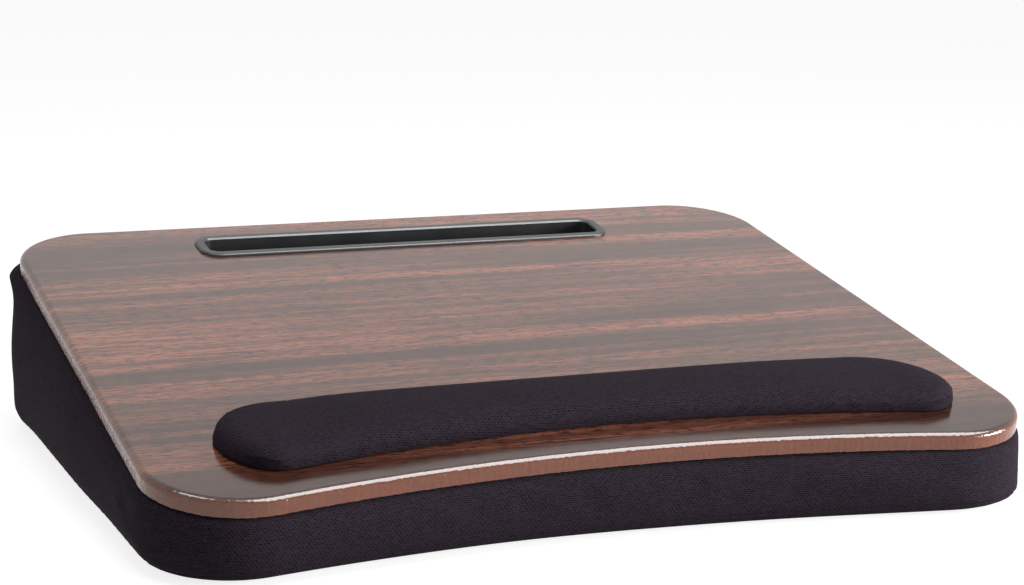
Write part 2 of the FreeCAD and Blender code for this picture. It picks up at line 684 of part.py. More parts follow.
def make_cushion():
    """Panel, two foams, side band and bottom panel of the cover, staples and tape."""
    outer = cushion_form("cushion_outer_form", "0", HEM_TOP, "{cushion_round}",
                         "{cushion_shoulder}")
    inner = cushion_form("cushion_inner_form", "{cover}", PANEL_TOP,
                         "{cushion_round} - {cover}", "{cushion_shoulder} - {cover}")

    opening = new_body("hem_opening_block")
    pad(opening, board_outline(opening, "hem_line", "0", "{cushion_hem}"), THROUGH, False)
    place_on_desk(opening)
    staple_line = board_outline(doc, "cover_staple_line", "0", "{cushion_hem} / 2")
    doc.recompute()
    staples = make_staples("cover_staples", staple_line, "cover_staple_count",
                           value_of(HEM_TOP), -1)
    place_on_desk(staples)

    shell = boolean("Cut", "cover_shell", outer, inner)
    above_opening = boolean("Common", "hem_hole", opening,
                            desk_slab("hem_layer", f"({HEM_TOP} + {CLEAR})",
                                      f"{{cover}} + {CLEAR} + {OVERCUT}"))
    hemmed = boolean("Cut", "cover_hemmed", shell, above_opening)
    stapled = boolean("Cut", "cover_stapled", hemmed, staples)
    band = boolean("Common", "cover_side_band", stapled,
                   world_slab("above_seam", "{seam_height}", f"{REACH}"))
    base = boolean("Common", "cover_base_panel", shell,
                   world_slab("below_seam", f"0 - {CLEAR}", f"{{seam_height}} + {CLEAR}"))

    panel = new_body("cushion_panel_blank")
    pad(panel, board_outline(panel, "panel_plan", PANEL_TOP, "{panel_inset}"), "{panel}", False)
    room = "({slot_wall} + {panel_slot_room})"
    pocket(panel, slot_outline(panel, "panel_slot", "0", room, "{slot_y}"), THROUGH)
    place_on_desk(panel)
    drilled = boolean("Cut", "cushion_panel", panel, staples)

    under_panel = desk_slab("under_panel", PANEL_BOTTOM, f"{REACH}")
    comfort_top = "({cover} + {comfort_foam})"
    wedge = boolean("Common", "wedge_below_panel", inner, under_panel)
    upper = boolean("Common", "wedge_upper", wedge, world_slab("above_comfort", comfort_top, f"{REACH}"))
    well = desk_block("well_room", "0", "{slot_depth} + {slot_floor} + {well_play}",
                      f"({{slot_width}} / 2 + {room})", f"{{slot_y}} - {{slot_gap}} / 2 - {room}",
                      f"{{slot_gap}} + 2 * {room}")
    support = boolean("Cut", "support_foam", upper, well)
    comfort = boolean("Common", "memory_foam", inner,
                      world_slab("below_comfort", "0", comfort_top))

    strips = []
    for step in (-2, -1, 0, 1, 2):
        strip = doc.addObject("Part::Box", f"tape_strip{step + 2}")
        bind(strip, "Length", "{tape_width}")
        bind(strip, "Width", "{tape_length}")
        bind(strip, "Height", "{tape}")
        place_on_desk(strip, x=f"{step} * {{tape_pitch}} - {{tape_width}} / 2",
                      y="{tape_start} - {tape_length}", z=PANEL_TOP)
        strips.append(strip)
    tape = compound("mounting_tape", strips)
    return [(drilled, "cushion_panel"), (support, "support_foam"), (comfort, "memory_foam"),
            (band, "cover_side_band"), (base, "cover_base_panel"),
            (staples, "cover_staples"), (tape, "mounting_tape")]


# ---------------------------------------------------------------- the whole desk

def name_piece(target, label):
    for other in doc.Objects:
        if other is not target and other.Label == label:
            other.Label = label + "_blank"
    target.Label = label
    return target


screws = make_wrist_rest_screws()
pieces = [make_board_core(), make_wood_grain_foil(), make_backing_sheet(), make_slot_insert()]
pieces += [name_piece(target, label) for target, label in make_wrist_rest(screws)]
pieces += [screws]
pieces += [name_piece(target, label) for target, label in make_cushion()]
doc.recompute()

for item in doc.Objects:
    faults = [state for state in item.State if state in ("Invalid", "Error")]
    assert not faults, f"{item.Label}: {faults}"
    if item.TypeId == "Sketcher::SketchObject":
        assert item.FullyConstrained, f"{item.Label} is not fully constrained"

os.makedirs("parts", exist_ok=True)
for piece in pieces:
    shape = piece.Shape
    assert not shape.isNull() and shape.isValid(), f"{piece.Label} has no sound shape"
    box = shape.optimalBoundingBox()
    print(f"{piece.Label:20s} {len(shape.Solids):3d} solids {shape.Volume / 1000:9.2f} cm3 "
          f"x {box.XMin:7.1f} {box.XMax:7.1f}  y {box.YMin:7.1f} {box.YMax:7.1f}  "
          f"z {box.ZMin:7.1f} {box.ZMax:7.1f}")
    shape.exportStep(f"parts/{piece.Label}.step")
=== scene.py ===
# %% [markdown]
# # A lap desk in Blender
# The real object is a board with a printed rosewood surface on a wedge cushion. A moulded slot
# behind the middle holds a tablet upright, and a padded wrist rest follows the hollowed front.
# The engineering model is loaded first and never moved. Whatever is hidden inside the desk keeps
# its engineering shape and gets a real finish. What is seen and needs softness or fine edges,
# which are the foil, the wrist rest and the cushion's cover, is modelled again at the same place.

# %% Load the engineering model as a fixed frame
import math

import bpy
import numpy as np
from mathutils import Matrix, Vector
from mathutils.geometry import tessellate_polygon


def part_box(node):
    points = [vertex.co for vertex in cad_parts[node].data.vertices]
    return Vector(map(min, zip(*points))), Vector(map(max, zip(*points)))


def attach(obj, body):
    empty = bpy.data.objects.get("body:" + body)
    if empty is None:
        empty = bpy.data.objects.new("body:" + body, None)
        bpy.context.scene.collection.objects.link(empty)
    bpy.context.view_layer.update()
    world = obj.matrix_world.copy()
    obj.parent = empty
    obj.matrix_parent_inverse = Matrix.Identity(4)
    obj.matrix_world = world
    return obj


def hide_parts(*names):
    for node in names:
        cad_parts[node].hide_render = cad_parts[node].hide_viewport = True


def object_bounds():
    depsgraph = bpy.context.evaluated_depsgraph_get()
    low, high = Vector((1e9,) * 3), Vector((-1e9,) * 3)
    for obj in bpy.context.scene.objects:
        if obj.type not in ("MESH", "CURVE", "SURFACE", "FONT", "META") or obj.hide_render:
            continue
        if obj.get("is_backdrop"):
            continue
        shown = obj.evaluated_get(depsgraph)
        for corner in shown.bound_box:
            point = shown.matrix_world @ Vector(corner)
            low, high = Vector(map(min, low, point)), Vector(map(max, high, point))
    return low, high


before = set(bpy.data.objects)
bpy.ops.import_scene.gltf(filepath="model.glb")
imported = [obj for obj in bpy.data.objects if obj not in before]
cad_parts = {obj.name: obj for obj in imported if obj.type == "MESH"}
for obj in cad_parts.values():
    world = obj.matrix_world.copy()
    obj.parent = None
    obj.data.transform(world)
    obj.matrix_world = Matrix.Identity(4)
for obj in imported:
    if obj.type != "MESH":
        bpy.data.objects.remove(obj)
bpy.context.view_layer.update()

# %% [markdown]
# Every size below is in millimetres and turned into Blender's metres in one place. The board
# slopes down towards the user, so its pieces are drawn flat, on the desk's own plan, and then
# laid on the slope. The plan's origin is the middle of the top surface's back edge.

# %% Driving sizes and the sloping plan
MM = 0.001


def put(name, data):
    """A new object in the scene."""
    made = bpy.data.objects.new(name, data)
    bpy.context.scene.collection.objects.link(made)
    return made


SLOPE = math.radians(10)
BACK_Y, BACK_HEIGHT = 194.5, 112.2      # world place of the plan's origin
BOARD = dict(width=480, length=400.5, corner=48, hollow=19)
FOIL, EDGE_ROLL = 0.4, 3.5              # thickness, radius over the edge
HEM_DEPTH = 9.2                         # how far the cover's hem lies under the top surface


def on_desk(points):
    """Desk plan places (x, y, height above the top surface) as world places, in metres."""
    x, y, n = np.moveaxis(np.asarray(points, float), -1, 0)
    return MM * np.stack([x, BACK_Y + y * math.cos(SLOPE) - n * math.sin(SLOPE),
                          BACK_HEIGHT + y * math.sin(SLOPE) + n * math.cos(SLOPE)], -1)


def slope_height(y, depth):
    """World height, in mm, of the plane that lies depth under the top surface, at world y."""
    return BACK_HEIGHT + (y - BACK_Y) * math.tan(SLOPE) - depth / math.cos(SLOPE)


print("board", BOARD["width"], "x", BOARD["length"], "mm, front edge of the top",
      round(slope_height(BACK_Y - BOARD["length"] * math.cos(SLOPE), 0)), "mm high")

# %% [markdown]
# Outlines in plan are straight lines and arcs that meet without a kink, as a maker's drawing
# has them. A station every millimetre or so, each with the direction that points outwards, lets
# any cross-section be carried round the outline: that is how the rolled edge, the cushion's
# wall and the wrist rest are all made.

# %% Outlines as stations
STATION = 0.9       # mm between the stations round the board


def trace(runs, step):
    """Stations along a closed outline: places, outward directions and distance travelled.

    A run is ("line", start, end) or ("arc", centre, radius, from_degrees, to_degrees, side),
    where side is 1 round a corner and -1 round a hollow.
    """
    places, outward = [], []
    for run in runs:
        if run[0] == "line":
            start, end = np.array(run[1], float), np.array(run[2], float)
            length = np.linalg.norm(end - start)
            t = np.arange(max(1, round(length / step)))[:, None] / max(1, round(length / step))
            along = (end - start) / length
            places.append(start + t * (end - start))
            outward.append(np.repeat([[along[1], -along[0]]], len(t), 0))
        else:
            _, centre, radius, first, last, side = run
            count = max(2, round(abs(math.radians(last - first)) * radius / step))
            turn = np.radians(first + (last - first) * np.arange(count) / count)
            ray = np.stack([np.cos(turn), np.sin(turn)], 1)
            places.append(np.array(centre) + radius * ray)
            outward.append(side * ray)
    places, outward = np.concatenate(places), np.concatenate(outward)
    gaps = np.linalg.norm(np.roll(places, -1, 0) - places, axis=1)
    return places, outward, np.concatenate([[0], np.cumsum(gaps)])


def hollowed(width, back, front, corner, hollow):
    """Runs of a rounded rectangle whose front edge is hollowed by one arc."""
    a = width / 2 - corner
    big = (a * a + hollow * hollow) / (2 * hollow) - corner
    turn = math.degrees(math.asin(a / (big + corner)))
    return [("line", (a, back), (-a, back)),
            ("arc", (-a, back - corner), corner, 90, 180, 1),
            ("line", (-a - corner, back - corner), (-a - corner, front + corner)),
            ("arc", (-a, front + corner), corner, 180, 270 + turn, 1),
            ("arc", (0, front + hollow - big), big, 90 + turn, 90 - turn, -1),
            ("arc", (a, front + corner), corner, 270 - turn, 360, 1),
            ("line", (a + corner, front + corner), (a + corner, back - corner)),
            ("arc", (a, back - corner), corner, 0, 90, 1)]


board_at, board_out, board_along = trace(
    hollowed(BOARD["width"], 0, -BOARD["length"], BOARD["corner"], BOARD["hollow"]), STATION)
print("board outline", len(board_at), "stations,", round(board_along[-1]), "mm round")

# %% [markdown]
# Blender builds a mesh from lists of points and faces. Rows of points that run round an outline
# make neat four-sided faces, which bend and shade well. Each corner of a face also gets a UV
# place in metres, so that a grain or a knit can be drawn at its real size on the surface.

# %% Mesh builder
CREASE = 40     # degrees; edges sharper than this stay sharp


class Skin:
    """Collects points, faces and UV places of one surface."""

    def __init__(self):
        self.points, self.faces, self.uvs = [], [], []

    def add_points(self, points):
        start = len(self.points)
        self.points.extend(map(tuple, points))
        return np.arange(start, len(self.points))

    def strip(self, rows, uv, wrap=True):
        """Faces between rows of points; uv has one more station than the rows where they wrap."""
        rows = np.asarray(rows)
        ids = self.add_points(rows.reshape(-1, 3)).reshape(rows.shape[:2])
        self.weave(ids, uv, wrap)
        return ids

    def weave(self, ids, uv, wrap=True):
        """Faces between rows of points that exist already."""
        count = ids.shape[1]
        for r in range(ids.shape[0] - 1):
            for s in range(count if wrap else count - 1):
                e = (s + 1) % count
                self.faces.append((ids[r, s], ids[r, e], ids[r + 1, e], ids[r + 1, s]))
                self.uvs += [uv[r][s], uv[r][s + 1], uv[r + 1][s + 1], uv[r + 1][s]]

    def cover(self, rings, plan, upwards=True):
        """Fills the first ring of existing points, with the other rings as holes."""
        loops = [[Vector((*plan[i], 0)) for i in ring] for ring in rings]
        flat = [i for ring in rings for i in ring]
        for triangle in tessellate_polygon(loops):
            a, b, c = (flat[i] for i in triangle)
            (ax, ay), (bx, by), (cx, cy) = plan[a], plan[b], plan[c]
            if ((bx - ax) * (cy - ay) - (cx - ax) * (by - ay) > 0) != upwards:
                b, c = c, b
            self.faces.append((a, b, c))
            self.uvs += [tuple(MM * v for v in plan[i]) for i in (a, b, c)]

    def make(self, name):
        """The collected surface as a Blender object."""
        mesh = bpy.data.meshes.new(name)
        mesh.from_pydata([tuple(map(float, p)) for p in self.points], [],
                         [tuple(map(int, f)) for f in self.faces])
        layer = mesh.uv_layers.new(name="surface")
        layer.data.foreach_set("uv", np.array(self.uvs, float).ravel())
        mesh.shade_smooth()
        mesh.set_sharp_from_angle(angle=math.radians(CREASE))
        mesh.validate()
        return put(name, mesh)


# %% [markdown]
# Foil and cloth are thin sheets, so each is drawn as one surface and given its thickness by a
# Solidify modifier, which also closes the rims. The modifier is then made plain. Hardly any
# made edge is perfectly even, and a sum of a few waves of unlike lengths shows that cheaply.

# %% Thickness and unevenness
def thicken(piece, thickness):
    """Gives a single surface its real thickness, inwards, and closes the rims."""
    shell = piece.modifiers.new("thickness", "SOLIDIFY")
    shell.thickness, shell.offset = thickness * MM, -1
    shell.use_rim, shell.use_quality_normals = True, True
    plain = bpy.data.meshes.new_from_object(
        piece.evaluated_get(bpy.context.evaluated_depsgraph_get()))
    piece.modifiers.clear()
    piece.data = plain
    plain.set_sharp_from_angle(angle=math.radians(CREASE))
    return piece


def ripple(along, lengths, seed, closed):
    """A gentle irregular wave of height about 1 along a closed outline of that total length."""
    random = np.random.default_rng(seed)
    wave = np.zeros_like(np.asarray(along, float))
    for length in lengths:
        turns = max(1, round(closed / length))
        wave += np.sin(2 * np.pi * turns * along / closed + random.uniform(0, 2 * np.pi))
    return wave / math.sqrt(len(lengths))


print("a ripple reaches", round(float(ripple(board_along[:-1], (9, 13), 9,
                                             board_along[-1]).max()), 2))

# %% [markdown]
# ## Materials
# One small function adds a node with its settings and links. Colours are written as the hex
# values that a paint program shows and turned into the linear values that the renderer needs.
# A pattern's scale is one over its real size in metres, because the coordinates are metres.

# %% Node helpers
def linear(code, alpha=1.0):
    """An sRGB hex colour as linear red, green, blue and alpha."""
    parts = [int(code[i:i + 2], 16) / 255 for i in (0, 2, 4)]
    return (*(p / 12.92 if p <= 0.04045 else ((p + 0.055) / 1.055) ** 2.4 for p in parts), alpha)


def node(tree, kind, inputs=None, ramp=None, **settings):
    """Adds a node; inputs maps a socket to a value or to the output that feeds it."""
    made = tree.nodes.new(kind)
    for name, value in settings.items():
        setattr(made, name, value)
    if ramp:
        elements = made.color_ramp.elements
        while len(elements) < len(ramp):
            elements.new(1.0)
        for element, (position, colour) in zip(elements, ramp):
            element.position, element.color = position, linear(colour)
    for socket, value in (inputs or {}).items():
        if isinstance(value, bpy.types.NodeSocket):
            tree.links.new(value, made.inputs[socket])
        else:
            made.inputs[socket].default_value = value
    return made


print("white in linear light", [round(v, 3) for v in linear("e4e4e4")[:3]])

# %% [markdown]
# Most materials repeat the same few steps: arithmetic, colours, noise, relief, and the surface
# at the end. Each has a short function, so that what follows shows only what is particular to
# a material.

# %% Steps that materials repeat
def maths(tree, operation, *values):
    """One step of arithmetic on values or outputs; gives its output."""
    return node(tree, "ShaderNodeMath", dict(enumerate(values)), operation=operation).outputs[0]


def mingle(tree, factor, low, high):
    """Two colours mixed; gives the mixed colour."""
    return node(tree, "ShaderNodeMix", {0: factor, 6: low, 7: high},
                data_type="RGBA").outputs[2]


def remap(tree, value, low, high, to_low=0.0, to_high=1.0):
    """A value from low to high brought to lie from to_low to to_high, and never beyond."""
    return node(tree, "ShaderNodeMapRange", {
        "Value": value, "From Min": low, "From Max": high, "To Min": to_low,
        "To Max": to_high}).outputs[0]


def colours(tree, value, *ramp):
    """A ramp of colours along a value; gives the colour."""
    return node(tree, "ShaderNodeValToRGB", {"Fac": value}, ramp=ramp).outputs[0]


def noise(tree, place, size, **more):
    """Noise whose lumps are about size mm across."""
    return node(tree, "ShaderNodeTexNoise", {"Vector": place, "Scale": 1 / (size * MM), **more})


def bump(tree, height, strength, depth, normal=None, **settings):
    """Relief of that depth in mm, on top of another relief where one is given."""
    inputs = {"Height": height, "Strength": strength, "Distance": depth * MM}
    if normal is not None:
        inputs["Normal"] = normal
    return node(tree, "ShaderNodeBump", inputs, **settings).outputs[0]


def surface(tree, colour, roughness, normal=None, **more):
    """The surface shader and the material's output."""
    inputs = {"Base Color": colour, "Roughness": roughness, **more}
    if normal is not None:
        inputs["Normal"] = normal
    shader = node(tree, "ShaderNodeBsdfPrincipled", inputs)
    node(tree, "ShaderNodeOutputMaterial", {"Surface": shader.outputs[0]})


def new_material(name):
    made = bpy.data.materials.new(name)
    made.use_nodes = True
    made.node_tree.nodes.clear()
    return made, made.node_tree


def dress(node_name, finish):
    """Puts a finish on an engineering node that stays visible."""
    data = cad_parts[node_name].data
    data.materials.clear()
    data.materials.append(finish)


print("nodes to dress", sorted(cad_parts))

# %% [markdown]
# ### Rosewood print foil
# A paper printed with rosewood figure, lacquered and pressed round the board. It gives broad
# bands of orange-brown and grey-brown, short dark streaks and fine pores that all run one way,
# under a satin lacquer that mirrors the white room as a veil and the dark wrist rest as a soft
# dark strip. Noise stretched along the grain is the simplest honest way to draw it: the bands,
# the streaks, the lines and the pores are the same noise at four real sizes. The thinnest real
# lines are under half a millimetre and would vanish at this distance, so they are drawn coarser.

# %% Rosewood print foil
# width across the grain in mm, how many times longer they are along it, detail
GRAIN = dict(bands=(32, 22, 2.0), streaks=(8, 40, 3.0), lines=(2.2, 30, 3.0), pores=(1.3, 7, 2.0))

foil_finish, tree = new_material("rosewood_print_foil")
place = node(tree, "ShaderNodeTexCoord")
sway = noise(tree, place.outputs["UV"], 200, Detail=1.0)
swayed = node(tree, "ShaderNodeVectorMath", {0: sway.outputs["Color"], 1: (0, 0.003, 0)},
              operation="MULTIPLY")
grain = node(tree, "ShaderNodeVectorMath", {0: place.outputs["UV"], 1: swayed.outputs[0]},
             operation="ADD")
figure = {}
for name, (width, run, detail) in GRAIN.items():
    stretched = node(tree, "ShaderNodeMapping", {
        "Vector": grain.outputs[0], "Scale": (1 / (width * run * MM), 1 / (width * MM), 1.0)})
    figure[name] = node(tree, "ShaderNodeTexNoise", {
        "Vector": stretched.outputs[0], "Scale": 1.0, "Detail": detail,
        "Roughness": 0.6}).outputs["Fac"]
broad = node(tree, "ShaderNodeMix", {0: 0.33, 2: figure["bands"], 3: figure["streaks"]})
blend = node(tree, "ShaderNodeMix", {0: 0.33, 2: broad.outputs[0], 3: figure["lines"]})
print("grain at", {name: width for name, (width, _, _) in GRAIN.items()}, "mm")

# %% [markdown]
# The blended noise picks a colour from a ramp that runs from the grey-brown bands to the
# orange-brown ones. Dark lines and pores are then laid over it, because on real rosewood they
# cross every band alike. Before them the strip in front of the wrist rest is darkened: painted
# shade and a painted reflection of the rest.

# %% Colours of the print, with painted shade in front of the wrist rest
wood = colours(tree, blend.outputs[0], (0.38, "40271f"), (0.46, "5a362b"), (0.51, "7c4a39"),
               (0.56, "a0604b"), (0.64, "8b4f3d"))
lined = remap(tree, figure["lines"], 0.50, 0.61, 0, 0.75)
# painted shade and a painted reflection of the dark wrist rest darken the top's front strip, from the
# first place to the second in plan
SHADE_FROM, SHADE_FULL = -352, -368
across = node(tree, "ShaderNodeSeparateXYZ", {0: grain.outputs[0]})
front_shade_mask = remap(tree, across.outputs["Y"], SHADE_FROM * MM, SHADE_FULL * MM, 0, 0.85)
shaded_top = mingle(tree, front_shade_mask, wood, linear("3a2017"))
grained = mingle(tree, lined, shaded_top, linear("21150f"))
pored = remap(tree, figure["pores"], 0.50, 0.62, 0, 0.8)
printed = mingle(tree, pored, grained, linear("1f120c"))
print("print from", len(tree.nodes), "nodes")

# %% [markdown]
# Over the edge the foil is stretched, which evens out the print, makes it lighter, wrinkles it
# finely and polishes the lacquer. How far a point lies under the top plane tells how much it
# was stretched, and one mask made from that drives all four.

# %% Stretched edge and lacquer
STRETCH_FROM, STRETCH_FULL, WRINKLE = 0.05, 2.5, 2.0
depth = node(tree, "ShaderNodeVectorMath", {
    0: place.outputs["Object"], 1: (0, -math.sin(SLOPE), math.cos(SLOPE))},
    operation="DOT_PRODUCT")
top = MM * (BACK_HEIGHT * math.cos(SLOPE) - BACK_Y * math.sin(SLOPE))
stretch = remap(tree, depth.outputs["Value"], top - STRETCH_FROM * MM,
                top - STRETCH_FULL * MM, 0, 0.6)
stretched = mingle(tree, stretch, printed, linear("804831"))
wrinkles = noise(tree, place.outputs["Object"], WRINKLE, Detail=1.0)
wrinkled = maths(tree, "MULTIPLY", wrinkles.outputs["Fac"], stretch)
relief = bump(tree, figure["pores"], 0.2, 0.04, bump(tree, wrinkled, 1.0, 0.45))
gloss = remap(tree, figure["streaks"], 0, 1, 0.13, 0.21)
polished = node(tree, "ShaderNodeMix", {0: stretch, 2: gloss, 3: 0.10})
surface(tree, stretched, polished.outputs[0], relief, IOR=1.52)
print(foil_finish.name, len(tree.nodes), "nodes")

# %% [markdown]
# ### Polyester knit
# The cover is a dark plum-brown knit with a fine relief of short dashes in staggered rows. The
# pitch is real: rows 1.05 mm apart and a dash every 2 mm, each row shifted by a little over a
# third of that, which makes the eye see slanting lines. A dash is a small dent between raised
# stitches, and its darker colour is painted shade in the dent. The pattern is drawn on the
# surface's own UV places, so its rows go round the cushion level with its base.

# %% Rows and dashes of the knit
ROW, DASH, STAGGER = 1.05, 2.0, 0.39        # mm, mm, part of a dash

knit_finish, tree = new_material("polyester_dash_knit")
place = node(tree, "ShaderNodeTexCoord").outputs["UV"]
waver = noise(tree, place, 25, Detail=1.0)
wavered = node(tree, "ShaderNodeVectorMath", {0: waver.outputs["Color"], 1: (0.002, 0.0014, 0)},
               operation="MULTIPLY")
yarn_at = node(tree, "ShaderNodeVectorMath", {0: place, 1: wavered.outputs[0]}, operation="ADD")
axes = node(tree, "ShaderNodeSeparateXYZ", {0: yarn_at.outputs[0]})
row = maths(tree, "MULTIPLY", axes.outputs["Y"], 1 / (ROW * MM))
row_number = maths(tree, "FLOOR", row)
shift = maths(tree, "MULTIPLY", row_number, STAGGER)
along = maths(tree, "MULTIPLY_ADD", axes.outputs["X"], 1 / (DASH * MM), shift)
waves = []
for source in (row, along):
    turned = maths(tree, "MULTIPLY_ADD", source, 2 * math.pi, -math.pi / 2)
    waves.append(maths(tree, "MULTIPLY_ADD", maths(tree, "SINE", turned), 0.5, 0.5))
dent = maths(tree, "MULTIPLY", waves[0], maths(tree, "POWER", waves[1], 0.5))
print("rows", ROW, "mm apart, a dash every", DASH, "mm")

# %% [markdown]
# No two stitches of a knit are quite alike and loose fibres blur them. Each dash is therefore
# given its own depth by a random number read from its row and place, and fine noise is laid over
# it. One height then drives the relief and the colour together: deeper is darker, as painted
# shade in the dents, while the fuzz adds the yarn's own uneven tone.

# %% Uneven dashes, colour and relief
FUZZ = 0.9      # mm

dash_number = maths(tree, "FLOOR", along)
each = node(tree, "ShaderNodeCombineXYZ", {0: dash_number, 1: row_number})
lot = node(tree, "ShaderNodeTexWhiteNoise", {"Vector": each.outputs[0]},
           noise_dimensions="2D")
uneven = maths(tree, "MULTIPLY_ADD", lot.outputs["Value"], 0.8, 0.25)
fuzz = noise(tree, place, FUZZ, Detail=3.0, Roughness=0.7)
pressed = maths(tree, "MULTIPLY", dent, uneven)
sunk = node(tree, "ShaderNodeMix", {0: 0.45, 2: pressed, 3: fuzz.outputs["Fac"]})
# darker where the dashes sink: painted shade in the dents; the fuzz is the yarn's own uneven tone
dent_shaded_yarn = colours(tree, sunk.outputs[0], (0.16, "332b34"), (0.34, "221c23"), (0.70, "0d0a0e"))
relief = bump(tree, sunk.outputs[0], 0.7, 0.25, invert=True)
surface(tree, dent_shaded_yarn, 0.85, relief, IOR=1.45, **{"Specular IOR Level": 0.03})
print(knit_finish.name, len(tree.nodes), "nodes")

# %% [markdown]
# ### Moulded ABS
# The slot's ring and well are one moulding. Its tool was spark-eroded, so it is near black with a
# fine satin grain that goes pale grey at a low angle, and handling polishes it in patches. The
# engineering shape is fine enough to be seen, so it only gets this finish.

# %% Moulded ABS
abs_finish, tree = new_material("black_abs_spark_textured")
place = node(tree, "ShaderNodeTexCoord").outputs["Object"]
sparks = noise(tree, place, 0.5, Detail=2.0)
rubbed = noise(tree, place, 18)
relief = bump(tree, sparks.outputs["Fac"], 0.25, 0.06)
satin = remap(tree, rubbed.outputs["Fac"], 0, 1, 0.30, 0.46)
tone = colours(tree, sparks.outputs["Fac"], (0.3, "151617"), (0.7, "222325"))
surface(tree, tone, satin, relief, IOR=1.53)
dress("slot_insert", abs_finish)
print(abs_finish.name, len(tree.nodes), "nodes")

# %% [markdown]
# ### Stuffs inside the desk
# Fibreboard, paper, hardboard, two foams and tape are seen only when the desk is taken apart, and
# still each has the colour and the texture of the real stuff. All are fibres or cells pressed
# or foamed together, so one recipe with different sizes, stretch and relief makes them all.

# %% Pressed and foamed stuffs
# name, nodes, colours from low to high, size of the texture in mm, its stretch, roughness, relief
STUFFS = [
    ("medium_density_fibreboard", ["board_core"], ("8a6a48", "a88660"), 1.1, (1, 1, 1), 0.85, 0.05),
    ("melamine_balancing_paper", ["backing_sheet"], ("8d7e6e", "9c8e7d"), 3.0, (1, 3, 1), 0.45, 0.01),
    ("tempered_hardboard", ["cushion_panel", "wrist_rest_plate"], ("3f291b", "5b3f2b"), 0.8,
     (1, 1, 1), 0.55, 0.03),
    ("open_cell_polyurethane_foam", ["support_foam", "wrist_rest_foam"], ("c9c0a4", "e6dfc8"), 0.9,
     (1, 1, 1), 0.95, 0.3),
    ("viscoelastic_memory_foam", ["memory_foam"], ("d8d2bd", "efeadb"), 0.6, (1, 1, 1), 0.9, 0.15),
    ("acrylic_foam_tape", ["mounting_tape"], ("cfcfca", "e2e2dd"), 0.7, (1, 1, 1), 0.6, 0.03),
]
for name, dressed, (low, high), size, stretch, rough, depth in STUFFS:
    finish, tree = new_material(name)
    place = node(tree, "ShaderNodeTexCoord").outputs["Object"]
    turned = node(tree, "ShaderNodeMapping", {
        "Vector": place, "Scale": tuple(1 / (size * MM * s) for s in stretch)})
    fibres = node(tree, "ShaderNodeTexNoise", {"Vector": turned.outputs[0], "Scale": 1.0,
                                               "Detail": 3.0, "Roughness": 0.6})
    cells = node(tree, "ShaderNodeTexVoronoi", {"Vector": turned.outputs[0], "Scale": 0.6})
    blend = node(tree, "ShaderNodeMix", {0: 0.4, 2: fibres.outputs["Fac"],
                                         3: cells.outputs["Distance"]})
    tone = colours(tree, blend.outputs[0], (0.25, low), (0.7, high))
    surface(tree, tone, rough, bump(tree, blend.outputs[0], 0.6, depth), IOR=1.5)
    for item in dressed:
        dress(item, finish)
print("stuffs", [row[0] for row in STUFFS])

# %% [markdown]
# ### Zinc-plated steel
# Staples and screws are bright wire and bar with a thin zinc plating, whose crystals are slightly
# unlike in shine. Cells of a Voronoi pattern, read as roughness and tone, show that.

# %% Zinc-plated steel
steel_finish, tree = new_material("zinc_plated_steel")
place = node(tree, "ShaderNodeTexCoord").outputs["Object"]
spangle = node(tree, "ShaderNodeTexVoronoi", {"Vector": place, "Scale": 1 / (1.5 * MM)})
tone = colours(tree, spangle.outputs["Distance"], (0.0, "a9adb2"), (1.0, "c6c9cc"))
dull = remap(tree, spangle.outputs["Distance"], 0, 1, 0.28, 0.42)
surface(tree, tone, dull, Metallic=1.0)
for item in ("cover_staples", "wrist_rest_staples", "wrist_rest_screws"):
    dress(item, steel_finish)
print(steel_finish.name, len(tree.nodes), "nodes")

# %% [markdown]
# ## The foil
# The printed foil is one sheet: flat over the top, rolled over the edge and down the board's
# side, trimmed level with its underside. It is drawn as rows round the outline that unroll in
# the UV plan, so the grain runs over the edge as it does on the real board. The pressing leaves
# the rolled edge slightly rippled where it crosses the grain's ends and the hollow, least on the
# straight sides, and the trimming leaves its lower rim a little ragged.

# %% Foil over the board
RIPPLE, RIPPLE_LENGTHS, SIDE_RIPPLE = 0.07, (3.1, 4.7, 23), 0.15
RIPPLE_START = 2.0                          # mm of roll over which the ripple grows
RAGGED, RAGGED_LENGTHS = 0.12, (4.1, 7.7, 19)
FLAT_RIM, FLAT_LEAD = 9.0, 0.6              # flat strip inside the edge, and its last row
WALL_DEPTHS = (4.6, 6.2, 7.8, 8.5, 8.9)     # rows down the board's side

roll = np.radians(np.linspace(0, 90, 16))
profile = [(-FLAT_RIM, 0.0, 0.0), (-EDGE_ROLL - FLAT_LEAD, 0.0, 0.0)]
profile += [(EDGE_ROLL * (math.sin(t) - 1), EDGE_ROLL * (math.cos(t) - 1), EDGE_ROLL * t)
            for t in roll]
profile += [(0.0, -h, EDGE_ROLL * math.pi / 2 + h - EDGE_ROLL) for h in WALL_DEPTHS]

length = board_along[-1]
facing = np.clip(-board_out[:, 1], SIDE_RIPPLE, 1)      # 1 in front, least on the sides
rows, uvs = [], []
for index, (d, n, unrolled) in enumerate(profile):
    on_roll = min(1.0, max(0.0, unrolled / RIPPLE_START))
    wave = RIPPLE * on_roll * facing * ripple(board_along[:-1], RIPPLE_LENGTHS, 10, length)
    plan = board_at + board_out * (d + wave)[:, None]
    height = np.full(len(plan), n, float)
    if index == len(profile) - 1:
        height = height + RAGGED * ripple(board_along[:-1], RAGGED_LENGTHS, 77, length)
    rows.append(on_desk(np.column_stack([plan, height])))
    lay = board_at + board_out * (min(d, -EDGE_ROLL) + unrolled if unrolled else d)
    lay = MM * np.vstack([lay, lay[:1]])
    uvs.append(lay)
print("edge in", len(rows), "rows, unrolled", round(profile[-1][2], 1), "mm")

# %% [markdown]
# The flat of the foil is cut out round the slot and pierced for the wrist rest's four screws. It
# is one polygon with holes, which Blender's own tessellator fills with triangles; a flat face
# needs no finer mesh.

